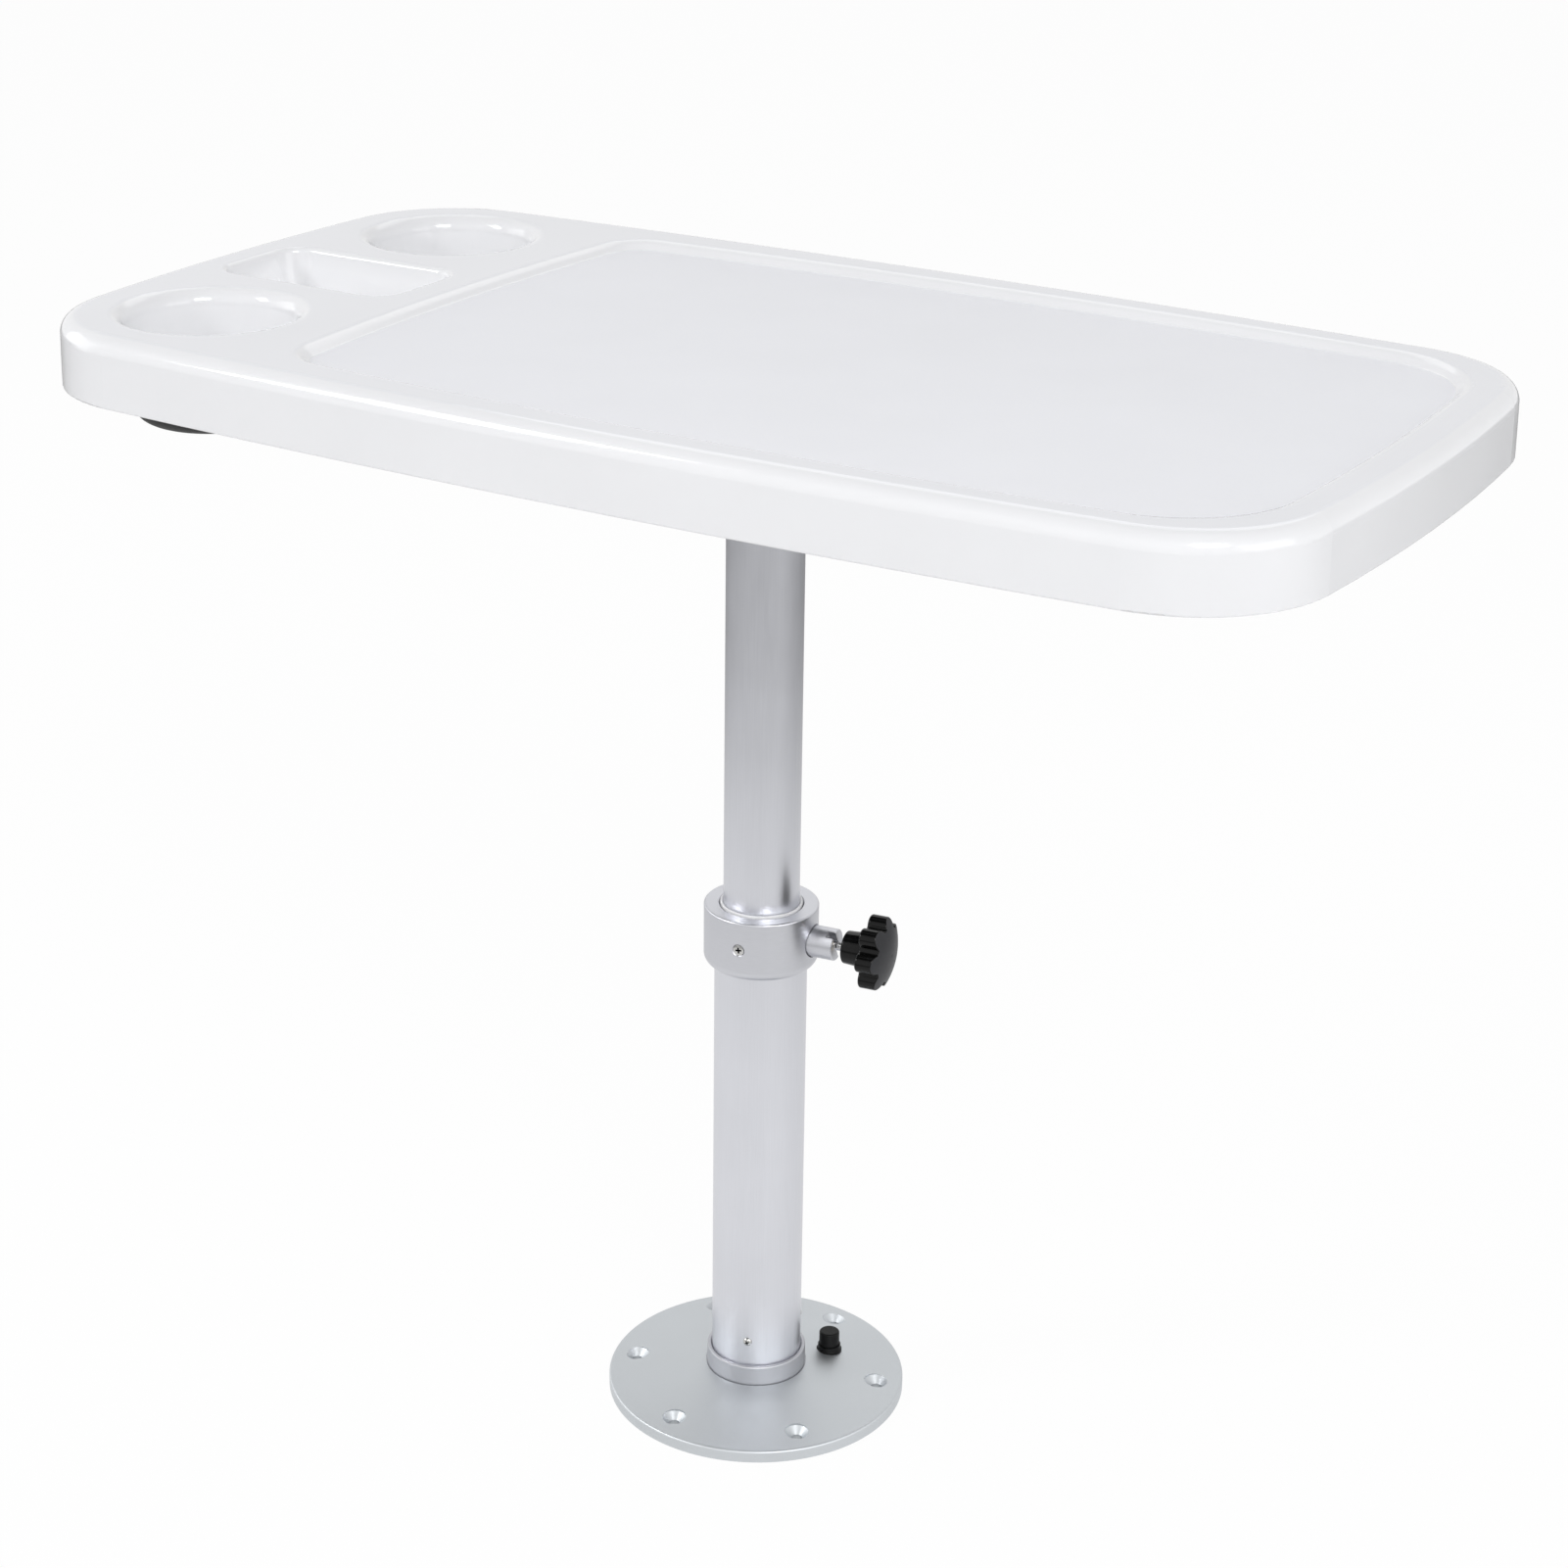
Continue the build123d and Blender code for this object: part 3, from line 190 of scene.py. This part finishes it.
class Finish:
    """A Principled material and short names for the nodes that vary it."""

    def __init__(self, name, sockets):
        self.material = bpy.data.materials.new(name)
        self.material.use_nodes = True
        self.tree = self.material.node_tree
        self.bsdf = self.tree.nodes["Principled BSDF"]
        for socket, value in sockets.items():
            self.bsdf.inputs[socket].default_value = value
        self.place = self.add("ShaderNodeTexCoord", {}).outputs

    def add(self, kind, inputs, **settings):
        node = self.tree.nodes.new(kind)
        for key, value in settings.items():
            setattr(node, key, value)
        for key, value in inputs.items():
            if isinstance(value, bpy.types.NodeSocket):
                self.tree.links.new(value, node.inputs[key])
            else:
                node.inputs[key].default_value = value
        return node

    def noise(self, per_metre, detail=3.0, stretch=EVEN):
        """Noise with so many grains in a metre, drawn out along an axis where stretch is small."""
        scale = [per_metre * s for s in stretch]
        spot = self.add("ShaderNodeMapping", {"Vector": self.place["Object"], "Scale": scale})
        inputs = {"Vector": spot.outputs[0], "Scale": 1.0, "Detail": detail}
        return self.add("ShaderNodeTexNoise", inputs).outputs[0]

    def cells(self, per_metre):
        """Distance to the middle of pebble-like cells."""
        inputs = {"Vector": self.place["Object"], "Scale": per_metre}
        return self.add("ShaderNodeTexVoronoi", inputs).outputs["Distance"]

    def span(self, value, low, high, start=0.3, end=0.7):
        """Spread what lies between start and end from low to high."""
        inputs = {0: value, 1: start, 2: end, 3: low, 4: high}
        return self.add("ShaderNodeMapRange", inputs).outputs[0]

    def maths(self, operation, a, b):
        return self.add("ShaderNodeMath", {0: a, 1: b}, operation=operation).outputs[0]

    def product(self, first, *others):
        for other in others:
            first = self.maths("MULTIPLY", first, other)
        return first

    def size(self, value):
        return self.maths("ABSOLUTE", value, 0.0)

    def along(self, socket, direction):
        """The part of a position or normal that lies along one direction."""
        inputs = {0: self.place[socket], 1: direction}
        return self.add("ShaderNodeVectorMath", inputs, operation="DOT_PRODUCT").outputs["Value"]

    def length(self, vector):
        return self.add("ShaderNodeVectorMath", {0: vector}, operation="LENGTH").outputs["Value"]

    def mix(self, share, first, second):
        inputs = {"Factor": share, 6: first, 7: second}
        return self.add("ShaderNodeMix", inputs, data_type="RGBA").outputs[2]

    def greys(self, share, levels, cool=0.0):
        """A grey between two others."""
        return self.mix(share, grey(levels[0], cool), grey(levels[1], cool))

    def blend(self, share, first, second):
        """A number between two others."""
        inputs = {0: share, 2: first, 3: second}
        return self.add("ShaderNodeMix", inputs, data_type="FLOAT").outputs[0]

    def drive(self, socket, value):
        self.tree.links.new(value, self.bsdf.inputs[socket])

    def bump(self, height, depth, strength):
        inputs = {"Height": height, "Distance": depth, "Strength": strength}
        self.drive("Normal", self.add("ShaderNodeBump", inputs).outputs[0])


def white_top():
    """Gloss white moulding whose sunk panel has a fine matt grain. Its colour holds painted light:
    flat gloss faces are painted darker and cooler as shade, and sloped faces and the wells are painted
    lighter.
    """
    sockets = {"Specular IOR Level": 0.5, "Coat Weight": TOP_COAT, "Coat Roughness": 0.08}
    f = Finish("top_plastic", sockets)
    panel_z = mount_at("panel_face").z
    top_z = cad_box[1][2]
    x, height = f.along("Object", X_AXIS), f.along("Object", Z_AXIS)
    not_above = f.span(height, 1.0, 0.0, panel_z + PANEL_BAND / 3, panel_z + PANEL_BAND)
    not_below = f.span(height, 0.0, 1.0, panel_z - PANEL_BAND, panel_z - PANEL_BAND / 3)
    right = f.span(x, 0.0, 1.0, PANEL_LEFT_X, PANEL_LEFT_X + MM)
    flat = f.span(f.along("Normal", Z_AXIS), 0.0, 1.0, *PANEL_FLAT)
    panel = f.product(not_above, not_below, right, flat)
    # The wells, whose colour is painted lighter to stand in for the light inside them
    sunk = f.span(height, 1.0, 0.0, top_z - WELL_LIP[1], top_z - WELL_LIP[0])
    between = f.span(f.size(f.along("Object", Y_AXIS)), 1.0, 0.0, WELLS_Y - MM, WELLS_Y)
    within = f.span(x, 0.0, 1.0, WELLS_X - MM, WELLS_X)
    well = f.product(sunk, between, within, f.maths("SUBTRACT", 1.0, right))
    shade = f.span(f.noise(per_metre=9.0, detail=2.0), 0.0, 1.0)
    # Painted light and shade: flat gloss faces darker and cooler, sloped faces lighter, the wells
    # lighter still; the matt panel takes the same painted cool
    flat_painted_shade = f.greys(shade, FLAT_PAINTED_SHADE_TONES, PAINTED_SKY_COOL)
    slope_painted_light = f.greys(shade, SLOPE_PAINTED_LIGHT_TONES, SLOPE_PAINTED_COOL)
    matt = f.greys(shade, PANEL_TONES, PAINTED_SKY_COOL)
    bright = f.greys(shade, WELL_PAINTED_LIGHT_TONES, WELL_PAINTED_COOL)
    gloss = f.mix(flat, slope_painted_light, flat_painted_shade)
    f.drive("Base Color", f.mix(panel, f.mix(well, gloss, bright), matt))
    smooth = f.span(f.noise(per_metre=60.0), 0.07, 0.12)
    rough = f.span(f.noise(per_metre=900.0), 0.34, 0.44)
    f.drive("Roughness", f.blend(panel, smooth, rough))
    f.drive("Coat Weight", f.blend(panel, TOP_COAT, 0.0))
    pebble = f.span(f.cells(per_metre=700.0), 0.0, 1.0, 0.1, 0.6)
    peel = f.span(f.noise(per_metre=220.0, detail=1.0), 0.0, 0.12)
    f.bump(f.blend(panel, peel, pebble), depth=0.00006, strength=0.5)
    return f.material


def black_moulding(name, level, roughness, grain, specular):
    """Matt black plastic with a spark-eroded grain."""
    f = Finish(name, {"Specular IOR Level": specular})
    tone = f.span(f.noise(grain * 0.2), 0.0, 1.0)
    f.drive("Base Color", f.greys(tone, (level, level * 1.4)))
    f.drive("Roughness", f.span(f.noise(grain), roughness - 0.06, roughness + 0.06))
    f.bump(f.span(f.cells(grain), 0.0, 1.0, 0.1, 0.7), depth=0.0001, strength=0.4)
    return f.material


def plywood():
    """Raw birch plywood: long grain on its faces and plies on its edges."""
    f = Finish("board_wood", {"Roughness": 0.7})
    grain = f.span(f.noise(per_metre=260.0, detail=5.0, stretch=(0.05, 1.0, 1.0)), 0.0, 1.0)
    face = f.mix(grain, (0.52, 0.36, 0.21, 1.0), (0.68, 0.52, 0.34, 1.0))
    inputs = {"Vector": f.place["Object"], "Scale": 105.0}
    plies = f.add("ShaderNodeTexWave", inputs, bands_direction="Z").outputs["Fac"]
    edge = f.mix(plies, (0.4, 0.26, 0.14, 1.0), (0.66, 0.5, 0.32, 1.0))
    f.drive("Base Color", f.mix(f.size(f.along("Normal", Z_AXIS)), edge, face))
    f.bump(grain, depth=0.0001, strength=0.5)
    return f.material


def metal(name, level, roughness, per_metre, stretch=EVEN, relief=0.00002,
          tint=SATIN_TINT, hub=None):
    """Satin metal with a fine grain, drawn out where stretch is small.

    What lies within HUB_RADIUS of the pole's axis takes the level hub, where one is given.
    """
    f = Finish(name, {"Metallic": 1.0})
    grain = f.noise(per_metre, 2.0, stretch)
    cloud = f.noise(METAL_CLOUDS, 2.0)
    tone = f.maths("ADD", f.span(grain, -0.25, 0.25), f.span(cloud, 0.2, 0.8))
    low, high = METAL_SPREAD
    colour = f.mix(tone, tinted(level * low, tint), tinted(level * high, tint))
    if hub:
        plan = {0: f.place["Object"], 1: (1.0, 1.0, 0.0)}
        away = f.length(f.add("ShaderNodeVectorMath", plan, operation="MULTIPLY").outputs[0])
        turned = f.mix(tone, tinted(hub * low, SATIN_TINT), tinted(hub * high, SATIN_TINT))
        colour = f.mix(f.span(away, 1.0, 0.0, HUB_RADIUS - HUB_EDGE, HUB_RADIUS), colour, turned)
    f.drive("Base Color", colour)
    cloudy = f.span(cloud, roughness - 0.03, roughness + 0.03)
    f.drive("Roughness", f.maths("ADD", f.span(grain, -0.04, 0.04), cloudy))
    f.bump(grain, relief, strength=0.5)
    return f.material


def brass():
    f = Finish("insert_brass", {"Metallic": 1.0})
    grain = f.noise(per_metre=3000.0, detail=2.0, stretch=(0.03, 0.03, 1.0))
    dark, pale = (0.66, 0.48, 0.2, 1.0), (0.78, 0.6, 0.3, 1.0)
    f.drive("Base Color", f.mix(f.span(grain, 0.0, 1.0), dark, pale))
    f.drive("Roughness", f.span(grain, 0.2, 0.34))
    f.bump(grain, depth=0.00002, strength=0.5)
    return f.material


def nylon():
    """Natural nylon, a little waxy."""
    f = Finish("bush_plastic", {"Specular IOR Level": 0.5})
    cloud = f.span(f.noise(per_metre=80.0), 0.0, 1.0)
    f.drive("Base Color", f.greys(cloud, (0.88, 0.93), 0.01))
    f.drive("Roughness", f.span(f.noise(per_metre=600.0), 0.36, 0.48))
    f.bump(f.noise(per_metre=1500.0), depth=0.00003, strength=0.4)
    return f.material


def knob_plastic():
    """Black plastic, gloss round the lobes and satin on the domed face."""
    f = Finish("knob_plastic", {"Specular IOR Level": 0.22})
    face = f.span(f.along("Normal", joint_axis("knob_turn")), 0.0, 1.0, *KNOB_FACE)
    speck = f.span(f.noise(per_metre=1600.0), 0.0, 1.0)
    satin = f.greys(speck, (0.028, 0.038), 0.1)
    f.drive("Base Color", f.mix(face, grey(0.003), satin))
    gloss = f.span(f.noise(per_metre=90.0), 0.1, 0.18)
    f.drive("Roughness", f.blend(face, gloss, f.span(speck, 0.36, 0.46, 0.0, 1.0)))
    peel = f.span(f.noise(per_metre=200.0, detail=1.0), 0.0, 0.2)
    f.bump(f.blend(face, peel, speck), depth=0.00003, strength=0.4)
    return f.material


def islands(node):
    """The separate solids in a CAD node, each as a list of points, in the order of its mesh."""
    bm = bmesh.new()
    bm.from_mesh(NODES[node].data)
    bmesh.ops.remove_doubles(bm, verts=bm.verts, dist=WELD)
    left = set(bm.verts)
    found = []
    for first in bm.verts:
        if first not in left:
            continue
        left.remove(first)
        stack = [first]
        group = []
        while stack:
            vert = stack.pop()
            group.append(vert.co.copy())
            for edge in vert.link_edges:
                other = edge.other_vert(vert)
                if other in left:
                    left.remove(other)
                    stack.append(other)
        found.append(group)
    bm.free()
    return found


def lathe(profile, slope_painted_light):
    """A closed mesh turned about Z from (radius, height) points that start and end on the axis."""
    bm = bmesh.new()
    rings = []
    for radius, height in profile:
        count = slope_painted_light if radius > 0 else 1
        angles = [2 * math.pi * k / count for k in range(count)]
        spots = [(radius * math.cos(a), radius * math.sin(a), height) for a in angles]
        rings.append([bm.verts.new(spot) for spot in spots])
    for low, high in zip(rings, rings[1:]):
        for k in range(slope_painted_light):
            n = k + 1
            corners = [low[k % len(low)], low[n % len(low)], high[n % len(high)], high[k % len(high)]]
            bm.faces.new(list(dict.fromkeys(corners)))
    bmesh.ops.recalc_face_normals(bm, faces=bm.faces)
    return bm


def prism(outline, top, bottom, foot):
    """A closed tapered prism: an outline at the top, and the same one made smaller by foot below."""
    bm = bmesh.new()
    upper = [bm.verts.new((x, y, top)) for x, y in outline]
    lower = [bm.verts.new((x * foot, y * foot, bottom)) for x, y in outline]
    bm.faces.new(upper)
    bm.faces.new(lower[::-1])
    for k in range(len(outline)):
        n = (k + 1) % len(outline)
        bm.faces.new((upper[k], lower[k], lower[n], upper[n]))
    bmesh.ops.recalc_face_normals(bm, faces=bm.faces)
    return bm


def cross_outline(reach, wing):
    """The plan of a cross-head recess."""
    quarter = [(reach, -wing), (reach, wing), (wing, wing)]
    turns = [Matrix.Rotation(math.radians(90 * k), 2) for k in range(4)]
    return [tuple(turn @ Vector(point)) for turn in turns for point in quarter]


def hex_outline(reach):
    """The plan of a hexagon socket."""
    angles = [math.radians(60 * k) for k in range(6)]
    return [(reach * math.cos(a), reach * math.sin(a)) for a in angles]


def to_object(bm, name):
    mesh = bpy.data.meshes.new(name)
    bm.to_mesh(mesh)
    bm.free()
    obj = bpy.data.objects.new(name, mesh)
    bpy.context.scene.collection.objects.link(obj)
    return obj


def cut(obj, tool):
    """Cut one mesh from another and keep only the result."""
    step = obj.modifiers.new("recess", "BOOLEAN")
    step.operation = "DIFFERENCE"
    step.solver = "EXACT"
    step.object = tool
    bpy.context.view_layer.update()
    graph = bpy.context.evaluated_depsgraph_get()
    result = bpy.data.meshes.new_from_object(obj.evaluated_get(graph))
    obj.modifiers.clear()
    obj.data = result
    bpy.data.objects.remove(tool)
    return obj


def round_head(radius, height, shank, length, crown=5):
    """The profile of a round head over a shank. The seat of the head lies at height 0."""
    angles = [math.radians(90 * k / crown) for k in range(crown + 1)]
    dome = [(radius * math.sin(a), height * math.cos(a)) for a in angles]
    return dome + [(shank, 0.0), (shank, -length), (0.0, -length)]


def flat_head(radius, shank, length, edge):
    """The profile of a countersunk head, whose rim stands a little inside the mouth of its sink."""
    rim = radius - 2 * edge
    face = [(0.0, 0.0), (rim - edge, 0.0), (rim - 0.3 * edge, -0.3 * edge)]
    side = [(rim, -edge), (rim, -2 * edge), (shank, -radius + shank)]
    return face + side + [(shank, -length), (0.0, -length)]


def grub(radius, length, edge):
    """The profile of a headless screw."""
    return [(0.0, 0.0), (radius - edge, 0.0), (radius, -edge), (radius, -length), (0.0, -length)]


def shade_recess(mesh, reach, profile):
    """Give the faces inside a screw's recess the second material, which is darker: painted shade."""
    surface = [(radius, height) for radius, height in profile if height > profile[-1][1]]
    for face in mesh.polygons:
        radius = math.hypot(face.center.x, face.center.y)
        over = max(height for r, height in surface if r >= radius - RECESS_SIDE)
        face.material_index = int(radius < reach and face.center.z < over - RECESS_UNDER)


def screws(node, body, profile, recess, depth, foot, outward):
    """Screws with a real recess in the place of a CAD node's plain ones. Each faces outward(point)."""
    pieces = bmesh.new()
    face = max(height for _, height in profile)
    pattern = cut(to_object(lathe(profile, SCREW_SIDES), node + "_head"),
                  to_object(prism(recess, face + MM, face - depth, foot), node + "_tool"))
    shade_recess(pattern.data, max(math.hypot(x, y) for x, y in recess), profile)
    for number, points in enumerate(islands(node)):
        middle = sum(points, Vector()) / len(points)
        axis = outward(middle).normalized()
        tip = max(point.dot(axis) for point in points)
        foot_at = middle - axis * middle.dot(axis)
        turn = axis.to_track_quat("Z", "Y").to_matrix().to_4x4()
        spin = Matrix.Rotation(math.radians(SCREW_TURN + SCREW_TURN_MORE * number), 4, "Z")
        single = pattern.data.copy()
        single.transform(Matrix.Translation(foot_at + axis * (tip - face)) @ turn @ spin)
        pieces.from_mesh(single)
    bpy.data.objects.remove(pattern)
    obj = to_object(pieces, node + "_driven")
    obj.data.polygons.foreach_set("use_smooth", [True] * len(obj.data.polygons))
    obj.data.set_sharp_from_angle(angle=math.radians(SHARP_DEG))
    obj.data.materials.append(FINISHES["screw_steel"])
    obj.data.materials.append(RECESS_PAINTED_SHADE_FINISH)
    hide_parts(node)
    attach(obj, body)


def spring(node, body):
    """A copy of a CAD spring that moves with its body."""
    coil = bpy.data.objects.new(node + "_coil", NODES[node].data.copy())
    bpy.context.scene.collection.objects.link(coil)
    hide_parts(node)
    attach(coil, body)
    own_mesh(coil)


def raised_foot(node, body):
    """A copy of the CAD collar with its foot as high as the photograph shows it."""
    mesh = NODES[node].data.copy()
    for vert in mesh.vertices:
        if vert.co.z < COLLAR_FOOT:
            vert.co.z += COLLAR_FOOT_RISE
    ring = bpy.data.objects.new(node + "_fitted", mesh)
    bpy.context.scene.collection.objects.link(ring)
    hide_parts(node)
    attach(ring, body)


def from_pole(point):
    return Vector((point.x, point.y, 0.0))


def downward(_):
    return Vector((0.0, 0.0, -1.0))


def add_floor():
    """A white floor that is clear from below, so that the part's underside can be seen."""
    half = FLOOR_SIZE / 2
    corners = ((-half, -half), (half, -half), (half, half), (-half, half))
    bm = bmesh.new()
    bm.faces.new([bm.verts.new((x, y, 0.0)) for x, y in corners])
    floor = to_object(bm, "floor")
    f = Finish("floor", {"Base Color": FLOOR_COLOUR, "Roughness": 0.9, "Specular IOR Level": 0.0})
    path = f.add("ShaderNodeLightPath", {}).outputs
    away = f.length(f.place["Object"])
    ahead = f.maths("DIVIDE", f.along("Object", (0.0, -1.0, 0.0)), away)
    # Painted shade in the metals' reflections: the floor's glow in glossy rays dims far from the pole
    # and a little behind it
    dim = f.product(f.span(away, 1.0, FLOOR_DIMMEST, *FLOOR_DIMS),
                    f.span(ahead, FLOOR_BEHIND, 1.0, *FLOOR_BEHIND_TO))
    level = f.blend(path["Is Camera Ray"], dim, 1.0)
    white = f.add("ShaderNodeEmission", {"Color": WHITE, "Strength": level})
    seen = f.product(path["Is Camera Ray"], FLOOR_WHITE_SEEN)
    glossy = f.maths("MAXIMUM", path["Is Glossy Ray"], path["Is Transmission Ray"])
    share = f.maths("MAXIMUM", seen, f.product(glossy, FLOOR_WHITE_MIRRORED))
    blend = f.add("ShaderNodeMixShader", {0: share, 1: f.bsdf.outputs[0], 2: white.outputs[0]})
    below = f.add("ShaderNodeNewGeometry", {}).outputs["Backfacing"]
    clear = f.add("ShaderNodeBsdfTransparent", {})
    one_way = f.add("ShaderNodeMixShader", {0: below, 1: blend.outputs[0], 2: clear.outputs[0]})
    f.tree.links.new(one_way.outputs[0], f.tree.nodes["Material Output"].inputs["Surface"])
    floor.data.materials.append(f.material)


def add_world():
    """A white room, brighter to the camera and in reflections than as light, with a dim ceiling."""
    world = bpy.data.worlds.new("studio")
    bpy.context.scene.world = world
    world.use_nodes = True
    tree = world.node_tree
    background = tree.nodes["Background"]
    background.inputs["Color"].default_value = WHITE
    path = tree.nodes.new("ShaderNodeLightPath").outputs
    shown = path["Is Camera Ray"]
    for other in ("Is Glossy Ray", "Is Transmission Ray"):
        larger = tree.nodes.new("ShaderNodeMath")
        larger.operation = "MAXIMUM"
        tree.links.new(shown, larger.inputs[0])
        tree.links.new(path[other], larger.inputs[1])
        shown = larger.outputs[0]
    way = tree.nodes.new("ShaderNodeSeparateXYZ")
    tree.links.new(tree.nodes.new("ShaderNodeTexCoord").outputs["Generated"], way.inputs[0])
    ceiling = tree.nodes.new("ShaderNodeMapRange")
    limits = (*CEILING_FROM, 1.0, CEILING_LEVEL)
    for key, value in zip(("From Min", "From Max", "To Min", "To Max"), limits):
        ceiling.inputs[key].default_value = value
    tree.links.new(way.outputs["Z"], ceiling.inputs["Value"])
    level = tree.nodes.new("ShaderNodeMapRange")
    level.inputs["To Min"].default_value = WORLD_FILL
    tree.links.new(ceiling.outputs[0], level.inputs["To Max"])
    tree.links.new(shown, level.inputs["Value"])
    tree.links.new(level.outputs[0], background.inputs["Strength"])


# Finishes by material slot, and then those of single nodes, which come first
FINISHES = {
    "top_plastic": white_top(),
    "underside_plastic": black_moulding(
        "underside_plastic", level=0.011, roughness=0.55, grain=900.0, specular=0.42),
    "board_wood": plywood(),
    "aluminium": metal("aluminium", level=0.64, roughness=0.36, per_metre=2600.0),
    "screw_steel": metal(
        "screw_steel", level=0.56, roughness=0.16, per_metre=1800.0, tint=NICKEL_TINT),
    "latch_steel": metal(
        "latch_steel", level=0.5, roughness=0.35, per_metre=900.0, stretch=(0.1, 1.0, 1.0)),
    "spring_steel": metal("spring_steel", level=0.42, roughness=0.3, per_metre=2500.0),
    "bush_plastic": nylon(),
    "knob_plastic": knob_plastic(),
    "insert_brass": brass(),
    "button_plastic": black_moulding(
        "button_plastic", level=0.004, roughness=0.38, grain=1400.0, specular=0.16),
}
# Painted shade: a dark metal for the faces inside the screw recesses
RECESS_PAINTED_SHADE_FINISH = metal("screw_recess_painted_shade", level=0.09, roughness=0.4, per_metre=1800.0)
NODE_FINISHES = {
    "lower_tube": metal(
        "drawn_tube", level=0.72, roughness=0.36, per_metre=2400.0, stretch=DRAWN),
    "upper_tube": metal(
        "drawn_inner_tube", level=0.725, roughness=0.345, per_metre=2400.0, stretch=DRAWN),
    "clamp_collar": metal(
        "turned_collar", level=0.63, roughness=0.38, per_metre=2600.0, stretch=TURNED),
    "knob_sleeve": metal(
        "turned_sleeve", level=0.62, roughness=0.4, per_metre=1600.0, stretch=(1.0, 0.2, 0.2)),
    "base_plate": metal(
        "blasted_plate", level=0.62, roughness=0.5, per_metre=1500.0, relief=0.00004,
        tint=PLATE_TINT, hub=0.51),
}

add_camera()
bpy.context.scene.view_settings.view_transform = "Standard"
add_world()
add_floor()
for lamp in LIGHTS:
    add_light(*lamp)

for entry in RECORD["subparts"]:
    node = NODES[entry["node"]]
    node.data.materials.clear()
    node.data.materials.append(NODE_FINISHES.get(entry["node"], FINISHES[entry["material_slot"]]))

screws("foot_screws", "base",
       round_head(radius=3.1 * MM, height=2.1 * MM, shank=2.0 * MM, length=10.0 * MM),
       cross_outline(reach=2.1 * MM, wing=0.6 * MM), depth=1.7 * MM, foot=0.5, outward=from_pole)
screws("collar_screws", "base",
       flat_head(radius=4.2 * MM, shank=2.0 * MM, length=9.2 * MM, edge=0.3 * MM),
       cross_outline(reach=2.5 * MM, wing=0.75 * MM), depth=2.0 * MM, foot=0.5, outward=from_pole)
screws("pan_screws", "table",
       round_head(radius=4.0 * MM, height=2.2 * MM, shank=1.8 * MM, length=12.0 * MM),
       cross_outline(reach=2.1 * MM, wing=0.42 * MM), depth=1.7 * MM, foot=0.5, outward=downward)
screws("flange_screws", "table",
       flat_head(radius=5.0 * MM, shank=2.5 * MM, length=19.4 * MM, edge=0.3 * MM),
       cross_outline(reach=2.7 * MM, wing=0.5 * MM), depth=2.2 * MM, foot=0.5, outward=downward)
screws("flange_grub_screws", "table",
       grub(radius=2.5 * MM, length=4.0 * MM, edge=0.3 * MM),
       hex_outline(reach=1.4 * MM), depth=2.0 * MM, foot=0.98, outward=from_pole)
screws("latch_cover_screws", "base",
       round_head(radius=2.6 * MM, height=1.2 * MM, shank=1.5 * MM, length=4.7 * MM),
       cross_outline(reach=1.4 * MM, wing=0.3 * MM), depth=0.9 * MM, foot=0.5, outward=downward)
spring("button_spring", "button")
raised_foot("clamp_collar", "base")
